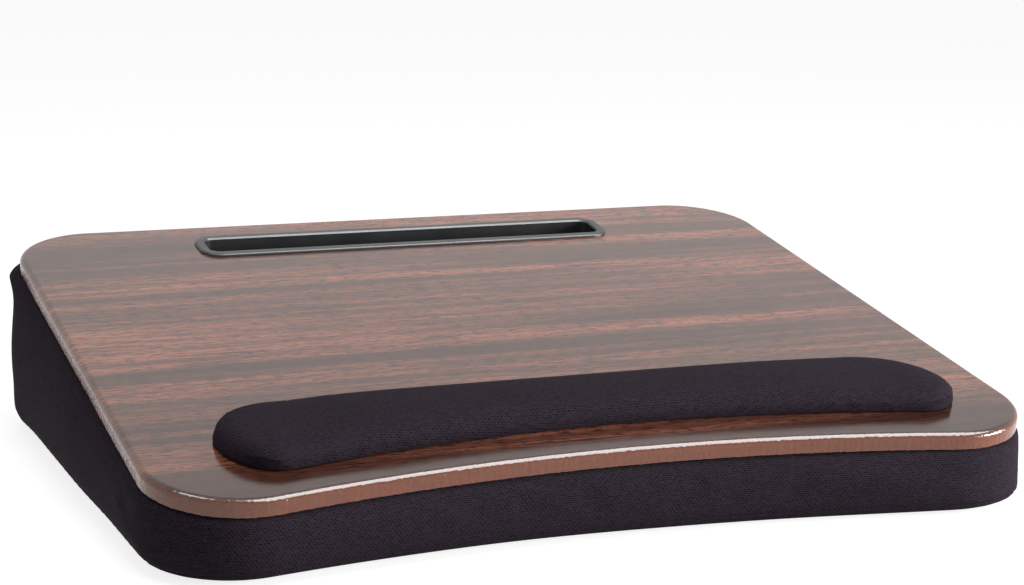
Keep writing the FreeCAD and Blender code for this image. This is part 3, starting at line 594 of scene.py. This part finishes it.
# %% Slot and screw holes in the foil
SLOT = dict(width=254, gap=24, corner=6, y=-42, room=2.5)
SCREW_PITCH, SCREW_Y, REST_SHIFT = 110, -326.75, 6
SCREW_HOLE, SLOT_STEP, HOLE_STEP = 1.7, 2.5, 0.7
SCREWS = [(sign * half * SCREW_PITCH + REST_SHIFT, SCREW_Y)
          for half in (0.5, 1.5) for sign in (-1, 1)]


def slot_runs(grow):
    """Runs of the rounded rectangle round the tablet slot, grown by grow."""
    hx, hy = SLOT["width"] / 2 + grow, SLOT["gap"] / 2 + grow
    r, y = SLOT["corner"] + grow, SLOT["y"]
    a, b = hx - r, hy - r
    return [("line", (a, y + hy), (-a, y + hy)), ("arc", (-a, y + b), r, 90, 180, 1),
            ("line", (-hx, y + b), (-hx, y - b)), ("arc", (-a, y - b), r, 180, 270, 1),
            ("line", (-a, y - hy), (a, y - hy)), ("arc", (a, y - b), r, 270, 360, 1),
            ("line", (hx, y - b), (hx, y + b)), ("arc", (a, y + b), r, 0, 90, 1)]


foil_skin = Skin()
edge_ids = foil_skin.strip(rows[::-1], uvs[::-1])
plan_of = {int(i): tuple(board_at[k] + board_out[k] * profile[0][0])
           for k, i in enumerate(edge_ids[-1])}
rings = [list(map(int, edge_ids[-1]))]
for runs, step in [(slot_runs(SLOT["room"]), SLOT_STEP)] + [
        ([("arc", centre, SCREW_HOLE, 0, 360, 1)], HOLE_STEP) for centre in SCREWS]:
    places, _, _ = trace(runs, step)
    ids = foil_skin.add_points(on_desk(np.column_stack([places, np.zeros(len(places))])))
    plan_of.update({int(i): tuple(p) for i, p in zip(ids, places)})
    rings.append(list(map(int, ids)))
foil_skin.cover(rings, plan_of)
foil = thicken(foil_skin.make("printed_foil"), FOIL)
foil.data.materials.append(foil_finish)
print("foil", len(foil.data.polygons), "faces")

# %% [markdown]
# ## Cushion cover
# The cover is sewn from a side band and a bottom panel, and stapled round a panel under the
# board. Stuffed with foam it swells a little between its seam and its hem. So it starts as a
# neat wedge drawn in rows round its outline, is blown up from inside by Blender's cloth
# simulation with its hem and base held, and its swelling is then carried over to a finer
# surface that also has the seam. Foam never fills such a cover evenly, so there are places
# where it stands out and places where the bottom edge is pulled tighter.

# %% Sizes of the cushion
cover_low, cover_high = (np.array(v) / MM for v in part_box("cover_side_band"))
CUSHION = dict(width=cover_high[0] - cover_low[0], back=cover_high[1], front=cover_low[1],
               corner=50, hollow=BOARD["hollow"], round=18, shoulder=5, hem=24, seam=5,
               flat=30)      # flat: the strip of the base that is drawn in rows
KNIT = 0.8                   # mm, the knit with its backing
COARSE_STEP, FINE_STEP = 6, 2.4
# where the stuffing pushes the cover: plan x, y, reach, height, spread, push, all in mm
BULGES = [(160, -198, 55, 6, 26, 4.5), (205, -196, 45, 3, 8, 2.5), (226, -184, 34, 2, 7, 2),
          (-242, 150, 60, 48, 34, 3.5), (-242, 20, 120, 40, 50, 3), (-238, 180, 40, 97, 12, 5),
          (-236, 190, 40, 16, 12, 2.5)]
# where the bottom edge is sewn tighter than the rest: plan x, y, reach, less radius
TIGHT = [(90, -192, 110, 8), (-242, 195, 45, 4)]
print("cushion", {key: round(float(value), 1) for key, value in CUSHION.items()})

# %% [markdown]
# One number, tau, walks over a cross-section of the cover from the flat of the base to the
# hem under the board. The wall ends on the board's sloping plane, so its height changes from
# station to station, while the radius of the bottom edge and of the shoulder stay the same.

# %% The wedge in rows
def near(at, x, y, reach):
    """1 at a plan place, fading to 0 beyond its reach."""
    return np.exp(-((at[..., 0] - x) ** 2 + (at[..., 1] - y) ** 2) / reach ** 2)


def wedge_row(tau, at, out):
    """One row of the wedge, in mm. tau goes -1..0 over the base, to 0.5 up to the seam and to 1
    round the rest of the bottom edge, to 2 up the wall, to 3 over the shoulder and to 4 along
    the hem under the board."""
    r = CUSHION["round"] - sum(less * near(at, x, y, reach) for x, y, reach, less in TIGHT)
    s = CUSHION["shoulder"]
    to_seam = np.arccos(1 - CUSHION["seam"] / r)
    if tau < 0:
        d, z = -r + CUSHION["flat"] * tau, 0.0
    elif tau <= 1:
        turn = to_seam * min(2 * tau, 1) + (math.pi / 2 - to_seam) * max(2 * tau - 1, 0)
        d, z = -r + r * np.sin(turn), r - r * np.cos(turn)
    elif tau <= 2:
        d = np.zeros(len(at))
    elif tau <= 3:
        d = np.full(len(at), s * math.cos(math.pi / 2 * (tau - 2)) - s)
    else:
        d = np.full(len(at), -s - (CUSHION["hem"] - s) * (tau - 3))
    plan = at + out * np.reshape(d, (-1, 1))
    if tau > 1:
        top = slope_height(plan[:, 1], HEM_DEPTH)
        if tau <= 2:
            z = r + (top - s - r) * (tau - 1)
        elif tau <= 3:
            z = top - s + s * math.sin(math.pi / 2 * (tau - 2))
        else:
            z = top
    return np.column_stack([plan, np.broadcast_to(z, len(plan))])


def wedge(taus, step):
    at, out, along = trace(hollowed(CUSHION["width"], CUSHION["back"], CUSHION["front"],
                                    CUSHION["corner"], CUSHION["hollow"]), step)
    return np.array([wedge_row(t, at, out) for t in taus]), along, out


coarse_taus = np.concatenate([[-1, -0.5, 0], np.linspace(0.2, 1, 5), np.linspace(1.1, 2, 10),
                              [2.33, 2.66, 3, 3.5, 4]])
coarse, coarse_along, coarse_out = wedge(coarse_taus, COARSE_STEP)
print("coarse wedge", coarse.shape[0], "rows of", coarse.shape[1], "points")

# %% [markdown]
# Cloth with a pressure inside finds by itself how a sewn cover bellies out between the places
# that hold it. The hem and the base are pinned, twenty frames give shape enough, and a soft
# cap keeps a slack place from running away. The stuffing doesn't give way, so whatever the
# simulation pulls inwards is taken back.

# %% Swell it with a cloth simulation
FRAMES = 20
CUSHION_PUFF = dict(pressure=2, cap=0.004)      # cap in metres
REST_PUFF = dict(pressure=3, cap=0.001)


def swell(points, faces, held, pressure, cap):
    """How far each point of a closed skin moves when it is blown up from inside, in metres."""
    mesh = bpy.data.meshes.new("swelling")
    mesh.from_pydata([tuple(p) for p in points], [], [tuple(map(int, f)) for f in faces])
    form = put("swelling", mesh)
    form.vertex_groups.new(name="held").add([int(i) for i in held], 1.0, "REPLACE")
    cloth = form.modifiers.new("cloth", "CLOTH")
    cloth.settings.vertex_group_mass = "held"
    cloth.settings.use_pressure = True
    cloth.settings.uniform_pressure_force = pressure
    cloth.settings.effector_weights.gravity = 0
    for index in range(1, FRAMES + 1):
        bpy.context.scene.frame_set(index)
    ready = form.evaluated_get(bpy.context.evaluated_depsgraph_get()).data
    after = np.zeros(len(points) * 3)
    ready.vertices.foreach_get("co", after)
    moved = after.reshape(-1, 3) - np.asarray(points)
    bpy.data.objects.remove(form)
    bpy.context.scene.frame_set(1)
    far = np.linalg.norm(moved, axis=1, keepdims=True)
    return moved * (cap * np.tanh(far / cap) / np.maximum(far, 1e-9))


def kept_out(moved, ways):
    """The same moves without what goes inwards, because the foam inside doesn't give way."""
    return moved - np.minimum(0, (moved * ways).sum(-1, keepdims=True)) * ways


skin = Skin()
ids = skin.strip(coarse * MM, np.zeros((len(coarse), coarse.shape[1] + 1, 2)))
skin.faces += [tuple(ids[0][::-1]), tuple(ids[-1])]
held = np.concatenate([ids[t] for t, tau in enumerate(coarse_taus) if tau <= 0 or tau >= 3])
swelling = swell(skin.points, skin.faces, held, **CUSHION_PUFF).reshape(coarse.shape) / MM
swelling = kept_out(swelling, np.column_stack([coarse_out, np.zeros(len(coarse_out))]))
wall = np.linalg.norm(swelling[int(np.argmin(abs(coarse_taus - 1.5)))], axis=1)
print("cushion swells mid wall", [round(float(v), 2) for v in (wall.min(), wall.mean(), wall.max())])

# %% [markdown]
# The simulation runs on a coarse wedge because it is slow, and its moves are then read off
# between the coarse points for a finer one. Only the fine one has the seam: a lip where the two
# layers of cloth are folded in, a narrow groove between them, and small puckers from the stitches.

# %% Finer rows and their seam
SEAM_TAU = 0.5
WAVE, WAVE_LENGTHS = 0.18, (97, 140, 210)           # mm, long unevenness of the wall
PUCKER, PUCKER_LENGTHS = 0.12, (9, 13)              # mm, along the seam
LIP, LIP_REACH, GROOVE, GROOVE_REACH = 0.9, 5, 0.8, 1.1
closing = np.array([0, 0.012, 0.024, 0.038, 0.055, 0.08, 0.11])     # rows crowd at the seam
band_taus = np.concatenate([SEAM_TAU + closing, np.linspace(0.66, 1, 5),
                            np.linspace(1, 2, 34)[1:], np.linspace(2, 3, 7)[1:], [3.2, 3.6, 4]])
base_taus = np.concatenate([[-1, -0.6, -0.3, -0.1, 0], np.linspace(0, 0.36, 5)[1:],
                            SEAM_TAU - closing[::-1]])
print("fine rows", len(band_taus), "on the band and", len(base_taus), "on the bottom panel")


# %% [markdown]
# Each fine point takes its move from the four coarse points round it. Then it is pushed out by
# the bulges near it and by the seam's lip, and drawn in by the groove. The UV places are the
# distance round the outline and the distance climbed from the seam, so the knit keeps its size.

# %% Swelling carried over
def carried(taus, along):
    """The coarse swelling read off at finer rows and stations."""
    period = np.concatenate([swelling, swelling[:, :1]], 1)
    spot = np.interp(along[:-1] / along[-1], coarse_along / coarse_along[-1],
                     np.arange(len(coarse_along)))
    low = np.floor(spot).astype(int)
    by_station = period[:, low] + (spot - low)[None, :, None] * (
        period[:, np.minimum(low + 1, len(coarse_along) - 1)] - period[:, low])
    line = np.interp(taus, coarse_taus, np.arange(len(coarse_taus)))
    row = np.floor(line).astype(int)
    upper = np.minimum(row + 1, len(coarse_taus) - 1)
    return by_station[row] + (line - row)[:, None, None] * (by_station[upper] - by_station[row])


def cushion_surface(taus):
    """Final rows of the cover in mm, with their UV places in metres."""
    rows, along, out = wedge(taus, FINE_STEP)
    steps = np.linalg.norm(np.diff(rows, axis=0), axis=2)
    travelled = np.vstack([np.zeros(rows.shape[1]), np.cumsum(steps, 0)])
    seam = travelled - travelled[int(np.argmin(abs(taus - SEAM_TAU)))]
    rows = rows + carried(taus, along)
    outward = np.column_stack([out, np.zeros(len(out))])[None]
    loose = np.clip(np.minimum(taus + 1, 3 - taus), 0, 1)[:, None]
    push = loose * sum(most * near(rows, x, y, reach)
                       * np.exp(-((rows[..., 2] - height) / spread) ** 2)
                       for x, y, reach, height, spread, most in BULGES)
    free = np.clip(np.minimum(taus, 3 - taus), 0, 1)[:, None] ** 0.5
    waves = WAVE * ripple(along[:-1], WAVE_LENGTHS, 5, along[-1])[None]
    pucker = PUCKER * ripple(along[:-1], PUCKER_LENGTHS, 9, along[-1])[None]
    lip = np.exp(-(seam / LIP_REACH) ** 2) * (LIP + pucker)
    groove = GROOVE * np.exp(-(seam / GROOVE_REACH) ** 2)
    rows = rows + outward * (push + free * waves + lip - groove)[..., None]
    rows[:, :, 2] = np.maximum(rows[:, :, 2], 0.0)
    around = np.broadcast_to(along, (len(taus), len(along)))
    climb = np.column_stack([seam, seam[:, :1]])
    return rows, MM * np.stack([around, climb], -1)


band_rows, band_uv = cushion_surface(band_taus)
band_skin = Skin()
band_skin.strip(band_rows * MM, band_uv)
band = thicken(band_skin.make("cover_band"), KNIT)
band.data.materials.append(knit_finish)
print("band", len(band.data.polygons), "faces")

# %% [markdown]
# The bottom panel starts in the same groove, where the two parts are sewn together, and lies
# flat on the table. Its middle is one polygon, which the tessellator fills.

# %% Bottom panel
base_rows, base_uv = cushion_surface(base_taus)
base_skin = Skin()
base_ids = base_skin.strip(base_rows * MM, base_uv)
inner = list(map(int, base_ids[0]))
base_skin.cover([inner], {i: tuple(base_rows[0][k][:2]) for k, i in enumerate(inner)}, False)
base = thicken(base_skin.make("cover_bottom_panel"), KNIT)
for vertex in base.data.vertices:
    vertex.co.z = max(vertex.co.z, 0.0)             # nothing sinks into the floor
base.data.materials.append(knit_finish)
print("bottom panel", len(base.data.polygons), "faces")

# %% [markdown]
# ## Wrist rest
# A low pad of foam on a thin plate, pulled tight under one piece of the same knit. Its plan has
# broad shoulders at the back, follows the hollow at the front and ends in two tips that aren't
# quite alike, because it is stretched and stapled by hand.

# %% Outline of the wrist rest
REST = dict(left_tip=(-172.1, -350.7), left_radius=21.2, left_shoulder=37,
            right_tip=(183.9, -346.9), right_radius=22.8, right_shoulder=46.5,
            back=-301.7, hollow_radius=828, height=10.6, round=8.5, dome=2.3, dome_reach=32,
            ends=((-165, 34, 2.2), (168, 42, 1.9)))     # x, reach and less height, at both ends


def rest_runs():
    """Two unlike tips joined by a hollow arc in front, a straight back and two shoulders."""
    (xl, yl), (xr, yr) = REST["left_tip"], REST["right_tip"]
    rl, rr, big, back = (REST[k] for k in ("left_radius", "right_radius", "hollow_radius", "back"))
    apart = math.hypot(xr - xl, yr - yl)
    ahead = ((big + rl) ** 2 - (big + rr) ** 2 + apart ** 2) / (2 * apart)
    aside = math.sqrt((big + rl) ** 2 - ahead ** 2)
    ux, uy = (xr - xl) / apart, (yr - yl) / apart
    centre = (xl + ahead * ux + aside * uy, yl + ahead * uy - aside * ux)
    to_left = math.degrees(math.atan2(yl - centre[1], xl - centre[0]))
    to_right = math.degrees(math.atan2(yr - centre[1], xr - centre[0]))
    shoulders = []
    for sign, (x, y), r, wide in ((-1, (xl, yl), rl, REST["left_shoulder"]),
                                  (1, (xr, yr), rr, REST["right_shoulder"])):
        drop = y - (back - wide)
        inward = math.sqrt((wide - r) ** 2 - drop ** 2)
        shoulders.append((x - sign * inward, back - wide, math.degrees(math.atan2(drop, inward))))
    (lx, ly, lift_l), (rx, ry, lift_r) = shoulders
    return [("line", (rx, back), (lx, back)),
            ("arc", (lx, ly), REST["left_shoulder"], 90, 180 - lift_l, 1),
            ("arc", (xl, yl), rl, 180 - lift_l, to_left + 180, 1),
            ("arc", centre, big, to_left, to_right, -1),
            ("arc", (xr, yr), rr, to_right + 180, 360 + lift_r, 1),
            ("arc", (rx, ry), REST["right_shoulder"], lift_r, 90, 1)]


REST_STEP = 0.8
rest_at, rest_out, rest_along = trace(rest_runs(), REST_STEP)
print("wrist rest outline", len(rest_at), "stations,", round(rest_along[-1]), "mm round")

# %% [markdown]
# A grid of four-sided faces is stretched between the back, the front and the two ends, as a
# Coons patch: each point is blended from the four sides. It is raised into a low crown that
# drops steeply at its edge and is a little lower at both ends, where the cloth is folded under.

# %% Grid between its four sides
corners = [int(np.argmax(rest_out @ np.array(way) / math.sqrt(2)))
           for way in ((-1, 1), (-1, -1), (1, -1), (1, 1))]
ALONG, ACROSS = 132, 30
EVEN = 0.75         # share of even spacing along the two long sides
EVERY = 3           # distances are measured to every third station


def side(first, last, count):
    """Places and outward directions along the outline from one corner to the next."""
    total = rest_along[-1]
    begin, end = rest_along[first], rest_along[last]
    end += total if end < begin else 0
    t = (1 - np.cos(np.linspace(0, np.pi, count))) / 2
    t = EVEN * np.linspace(0, 1, count) + (1 - EVEN) * t if count > ACROSS else t
    spots = (begin + (end - begin) * t) % total
    closed = [np.vstack([v, v[:1]]) for v in (rest_at, rest_out)]
    return [np.column_stack([np.interp(spots, rest_along, v[:, k]) for k in (0, 1)])
            for v in closed]


left, left_out = side(corners[0], corners[1], ACROSS)      # back to front
front, front_out = side(corners[1], corners[2], ALONG)     # left to right
right, right_out = side(corners[2], corners[3], ACROSS)    # front to back
back, back_out = side(corners[3], corners[0], ALONG)       # right to left
u = np.linspace(0, 1, ALONG)[:, None, None]
v = ((1 - np.cos(np.linspace(0, np.pi, ACROSS))) / 2)[None, :, None]
low, high = front[:, None], back[::-1][:, None]
start, stop = left[::-1][None], right[None]
patch = ((1 - v) * low + v * high + (1 - u) * start + u * stop
         - (1 - u) * (1 - v) * front[0] - u * (1 - v) * front[-1]
         - (1 - u) * v * left[0] - u * v * right[-1])
to_rim = np.linalg.norm(patch.reshape(-1, 1, 2) - rest_at[None, ::EVERY], axis=2)
near_rim = rest_out[np.argmin(to_rim, 1) * EVERY]
inset = np.min(to_rim, 1).reshape(ALONG, ACROSS)
inset[0], inset[-1], inset[:, 0], inset[:, -1] = 0, 0, 0, 0
edge = np.clip(1 - inset / REST["round"], 0, 1)
crown = REST["height"] - REST["round"] + REST["round"] * np.sqrt(1 - edge ** 2)
crown = crown + REST["dome"] * (1 - (1 - np.clip(inset / REST["dome_reach"], 0, 1)) ** 2)
lean = sum(most * np.exp(-((patch[..., 0] - x) / reach) ** 2) for x, reach, most in REST["ends"])
crown = crown - lean * (1 - edge ** 2)
print("wrist rest grid", patch.shape[:2], "deepest inset", round(float(inset.max()), 1), "mm")

# %% [markdown]
# The cloth turns down at the rim, is tucked under the plate and held there. These rows of points
# are the skirt, listed as distance outwards and height. Everything above the tuck may swell.

# %% Skirt and swelling
rim = [(i, 0) for i in range(ALONG)] + [(ALONG - 1, j) for j in range(1, ACROSS)]
rim += [(i, ACROSS - 1) for i in range(ALONG - 2, -1, -1)]
rim += [(0, j) for j in range(ACROSS - 2, 0, -1)]
rim_at = np.array([patch[i, j] for i, j in rim])
rim_out = np.vstack([front_out, right_out[1:], back_out[1:], left_out[1:-1]])
rim_out /= np.linalg.norm(rim_out, axis=1, keepdims=True)
skirt = [(0.0, 2.2), (0.0, 1.5), (-0.45, 0.45), (-1.5, 0.0), (-6.0, 0.0), (-13.0, 0.0)]
points = [np.concatenate([patch[i, j], [crown[i, j]]]) for i in range(ALONG)
          for j in range(ACROSS)]
for d, n in skirt:
    points += [np.array([*(p + o * d), n]) for p, o in zip(rim_at, rim_out)]
points = np.array(points)
count = len(rim)
ids = [np.array([i * ACROSS + j for i, j in rim])]
ids += [ALONG * ACROSS + k * count + np.arange(count) for k in range(len(skirt))]
faces = [(i * ACROSS + j, (i + 1) * ACROSS + j, (i + 1) * ACROSS + j + 1, i * ACROSS + j + 1)
         for i in range(ALONG - 1) for j in range(ACROSS - 1)]
for upper, lower in zip(ids[:-1], ids[1:]):
    faces += [(lower[k], lower[(k + 1) % count], upper[(k + 1) % count], upper[k])
              for k in range(count)]
held = np.concatenate(ids[3:])                  # from the third row of the skirt on
moved = swell(points * MM, faces + [tuple(ids[-1][::-1])], held, **REST_PUFF) / MM
ways = np.vstack([near_rim] + [rim_out] * len(skirt))
moved = kept_out(moved, np.column_stack([ways, np.zeros(len(ways))]))
moved[:, 2] = np.maximum(moved[:, 2], 0)
points = points + moved
print("wrist rest swells", round(float(np.abs(moved).max()), 2), "mm")

# %% [markdown]
# The knit is laid flat over the crown and has to run on down the sides without being smeared, so
# the steep part is spread outwards in the UV plan by about the length of cloth it takes.

# %% The finished pad
SIDE_FROM, SIDE_SPREAD, SKIRT_FROM = 3, 0.8, 8.0    # mm under the height, share, mm outwards
rest_skin = Skin()
drop = np.concatenate([np.maximum(0, REST["height"] - SIDE_FROM - points[:ALONG * ACROSS, 2]),
                       np.zeros(count * len(skirt))])
outwards = np.zeros((len(points), 2))
outwards[:ALONG * ACROSS] = near_rim
lay = points[:, :2] + outwards * drop[:, None] * SIDE_SPREAD
for k, (d, n) in enumerate(skirt):
    span = slice(ALONG * ACROSS + k * count, ALONG * ACROSS + (k + 1) * count)
    lay[span] = rim_at + rim_out * (SKIRT_FROM + (skirt[0][1] - n) - d)
rest_skin.points = [tuple(p) for p in on_desk(points)]
rest_skin.faces = faces
rest_skin.uvs = [tuple(lay[i] * MM) for face in faces for i in face]
rest = thicken(rest_skin.make("wrist_rest_pad"), KNIT)
rest.data.materials.append(knit_finish)
print("wrist rest", len(rest.data.polygons), "faces")

# %% [markdown]
# ## Seam stitches
# The band and the bottom panel are sewn together with a lock stitch. Its thread shows as short
# dashes at the bottom of the groove. It is twisted polyester, nearly black, and the twist gives
# it fine ribs that catch a little light.

# %% Thread
stitch_finish, tree = new_material("polyester_sewing_thread")
place = node(tree, "ShaderNodeTexCoord").outputs["Object"]
twist = noise(tree, place, 0.3).outputs["Fac"]
tone = colours(tree, twist, (0.3, "0c090c"), (0.7, "191419"))
surface(tree, tone, 0.7, bump(tree, twist, 0.5, 0.1), **{"Specular IOR Level": 0.2})
print(stitch_finish.name, len(tree.nodes), "nodes")

# %% [markdown]
# A path with a small thread shape repeated along it is a job for Geometry Nodes: the tree
# resamples the path at the stitch length, puts one stitch on each point and turns it along
# the path.

# %% Stitches with Geometry Nodes
STITCH, THREAD = 3.0, 0.32      # mm, length and thickness
SHOWN = 0.8                     # share of each stitch that lies on the outside
sewing = bpy.data.node_groups.new("seam_stitches", "GeometryNodeTree")
sockets = {}
for name, kind, value in (("Path", "NodeSocketGeometry", None),
                          ("Stitch Length", "NodeSocketFloat", STITCH * MM),
                          ("Thread", "NodeSocketFloat", THREAD * MM)):
    socket = sewing.interface.new_socket(name, in_out="INPUT", socket_type=kind)
    sockets[name] = socket.identifier
    if value is not None:
        socket.default_value = value
sewing.interface.new_socket("Stitches", in_out="OUTPUT", socket_type="NodeSocketGeometry")
given = node(sewing, "NodeGroupInput")
spaced = node(sewing, "GeometryNodeResampleCurve", {
    "Curve": given.outputs["Path"], "Length": given.outputs["Stitch Length"]}, mode="LENGTH")
tangent = node(sewing, "GeometryNodeInputTangent")
turned = node(sewing, "FunctionNodeAlignRotationToVector", {"Vector": tangent.outputs[0]},
              axis="X")
bead = node(sewing, "GeometryNodeMeshUVSphere", {"Segments": 6, "Rings": 4, "Radius": 1.0})
half = maths(sewing, "MULTIPLY", given.outputs["Stitch Length"], SHOWN / 2)
thin = maths(sewing, "MULTIPLY", given.outputs["Thread"], 0.5)
size = node(sewing, "ShaderNodeCombineXYZ", {0: half, 1: thin, 2: thin})
laid = node(sewing, "GeometryNodeInstanceOnPoints", {
    "Points": spaced.outputs[0], "Instance": bead.outputs["Mesh"],
    "Rotation": turned.outputs[0], "Scale": size.outputs[0]})
real = node(sewing, "GeometryNodeRealizeInstances", {0: laid.outputs[0]})
smooth = node(sewing, "GeometryNodeSetShadeSmooth", {0: real.outputs[0]})
dyed = node(sewing, "GeometryNodeSetMaterial", {"Geometry": smooth.outputs[0],
                                                "Material": stitch_finish})
node(sewing, "NodeGroupOutput", {0: dyed.outputs[0]})
print(sewing.name, len(sewing.nodes), "nodes")

# %% [markdown]
# The path is the band's own first row of points, which lies at the bottom of the groove, so the
# stitches follow every wave of the cover.

# %% Sew along the groove
line = bpy.data.curves.new("seam_path", "CURVE")
line.dimensions = "3D"
run = line.splines.new("POLY")
seam_row = band_rows[0]
run.points.add(len(seam_row) - 1)
for point, spot in zip(run.points, seam_row):
    point.co = (*(spot * MM), 1.0)
run.use_cyclic_u = True
path = put("seam_path", line)
sewn = path.modifiers.new("sewing", "NODES")
sewn.node_group = sewing
sewn[sockets["Stitch Length"]] = STITCH * MM
sewn[sockets["Thread"]] = THREAD * MM
stitch_mesh = bpy.data.meshes.new_from_object(
    path.evaluated_get(bpy.context.evaluated_depsgraph_get()))
bpy.data.objects.remove(path)
stitches = put("seam_stitches", stitch_mesh)
print("stitches", len(stitch_mesh.polygons), "faces")

# %% [markdown]
# ## Hang each piece on the desk's body
# The desk doesn't move in itself, so everything rides on its one body. The foil, the cover and
# the wrist rest stand for their engineering nodes, which are hidden.

# %% Ride and replace
for piece, nodes, finish in ((foil, ["wood_grain_foil"], "rosewood_foil"),
                             (band, ["cover_side_band"], "cover_knit"),
                             (base, ["cover_base_panel"], "cover_knit"),
                             (rest, ["wrist_rest_cover"], "cover_knit"),
                             (stitches, [], "cover_knit")):
    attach(piece, "root")
    if nodes:
        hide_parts(*nodes)
print("pieces", [piece.name for piece in (foil, band, base, rest, stitches)])

# %% [markdown]
# ## Floor, light and camera
# The desk stands on a white floor in white surroundings. The white that the camera and the
# reflections see comes from the world's and the floor's own colour, while the light they throw
# on the object is weaker, so that dark cloth stays dark.

# %% Floor
floor_mesh = bpy.data.meshes.new("floor")
floor_mesh.from_pydata([(-4, -4, 0), (4, -4, 0), (4, 6, 0), (-4, 6, 0)], [], [(0, 1, 2, 3)])
floor = put("floor", floor_mesh)
paper, tree = new_material("white_paper_sweep")
rays = node(tree, "ShaderNodeLightPath").outputs
seen = maths(tree, "MAXIMUM", rays["Is Camera Ray"], rays["Is Glossy Ray"])
plain = node(tree, "ShaderNodeBsdfDiffuse", {"Color": linear("e4e4e4")})
shaded = node(tree, "ShaderNodeBsdfDiffuse", {"Color": linear("a4a4a4")})
glow = node(tree, "ShaderNodeEmission", {"Color": linear("ffffff"), "Strength": 0.82})
white = node(tree, "ShaderNodeAddShader", {0: shaded.outputs[0], 1: glow.outputs[0]})
both = node(tree, "ShaderNodeMixShader", {0: seen, 1: plain.outputs[0],
                                          2: white.outputs[0]})
node(tree, "ShaderNodeOutputMaterial", {"Surface": both.outputs[0]})
floor_mesh.materials.append(paper)
floor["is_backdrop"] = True
print(paper.name, len(tree.nodes), "nodes")

# %% [markdown]
# The world works the same way. It is white to the camera, in mirror images and through glass,
# and only a weak fill light for everything else.

# %% World
world = bpy.data.worlds.new("white_studio")
bpy.context.scene.world = world
world.use_nodes = True
tree = world.node_tree
tree.nodes.clear()
rays = node(tree, "ShaderNodeLightPath").outputs
seen = maths(tree, "MAXIMUM", rays["Is Camera Ray"], rays["Is Glossy Ray"])
clear = maths(tree, "MAXIMUM", seen, rays["Is Transmission Ray"])
fill = node(tree, "ShaderNodeBackground", {"Color": linear("ffffff"), "Strength": 0.35})
shown = node(tree, "ShaderNodeBackground", {"Color": linear("ffffff"), "Strength": 1.0})
mixed = node(tree, "ShaderNodeMixShader", {0: clear, 1: fill.outputs[0],
                                           2: shown.outputs[0]})
node(tree, "ShaderNodeOutputWorld", {"Surface": mixed.outputs[0]})
print(world.name, len(tree.nodes), "nodes")

# %% [markdown]
# Two softboxes light the cloth and the foil: one overhead, and a low one in front on the right
# that lights the board's edge and the band. The bright line along the rolled edge is a mirror
# image, so it needs something to mirror: a high reflector in front on the right, and a small one
# on the left for the line's far end. Both are seen only in glossy surfaces and leave the cloth alone.

# %% Softboxes and reflectors
AIM = Vector((0.0, 0.0, 0.07))


def towards(azimuth, elevation):
    """Direction from the desk, in degrees from the front to the left and upwards."""
    turn, rise = math.radians(azimuth), math.radians(elevation)
    return Vector((-math.sin(turn) * math.cos(rise), -math.cos(turn) * math.cos(rise),
                   math.sin(rise)))


# name, azimuth, elevation, distance, width, height, power, lights dull things, seen in gloss
for name, azimuth, elevation, distance, wide, high, power, lights, mirrored in (
        ("overhead_softbox", 10, 78, 1.6, 1.1, 0.5, 14, True, False),
        ("overhead_reflector", -43, 58, 1.3, 1.15, 0.95, 46, False, True),
        ("left_reflector", 72, 58, 1.3, 0.5, 0.35, 6, False, True),
        ("front_right_softbox", -58, 8, 1.8, 0.9, 0.5, 48, True, True)):
    lamp = bpy.data.lights.new(name, "AREA")
    lamp.shape, lamp.size, lamp.size_y, lamp.energy = "RECTANGLE", wide, high, power
    box = put(name, lamp)
    box.visible_diffuse, box.visible_glossy = lights, mirrored
    away = towards(azimuth, elevation)
    box.matrix_world = Matrix.Translation(AIM + away * distance) @ away.to_track_quat(
        "Z", "Y").to_matrix().to_4x4()
    print(name, power, "W")

# %% [markdown]
# The camera looks at the desk from the front, a little from the left and slightly down, with a
# long lens that keeps the sides nearly parallel.

# %% Camera
LOOK_AT = Vector((0.01154, 0.00206, 0.09434))
AZIMUTH, ELEVATION, ROLL, DISTANCE = 21.7863, 9.9277, 0.39, 1.319
lens = bpy.data.cameras.new("camera")
lens.lens, lens.sensor_width, lens.clip_start, lens.clip_end = 81.53, 36, 0.05, 50
camera = put("camera", lens)
away = towards(AZIMUTH, ELEVATION)
facing = away.to_track_quat("Z", "Y").to_matrix().to_4x4()
camera.matrix_world = (Matrix.Translation(LOOK_AT + away * DISTANCE) @ facing
                       @ Matrix.Rotation(math.radians(ROLL), 4, "Z"))
bpy.context.scene.camera = camera
bpy.context.scene.view_settings.view_transform = "Standard"
print("camera", [round(v, 3) for v in camera.matrix_world.translation])

# %% [markdown]
# At the end the bounds of all shown pieces are measured. The swelling and the bulges take the
# cover a few millimetres past the model's box on the sides, and nowhere below it.

# %% Measure the bounds
low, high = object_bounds()
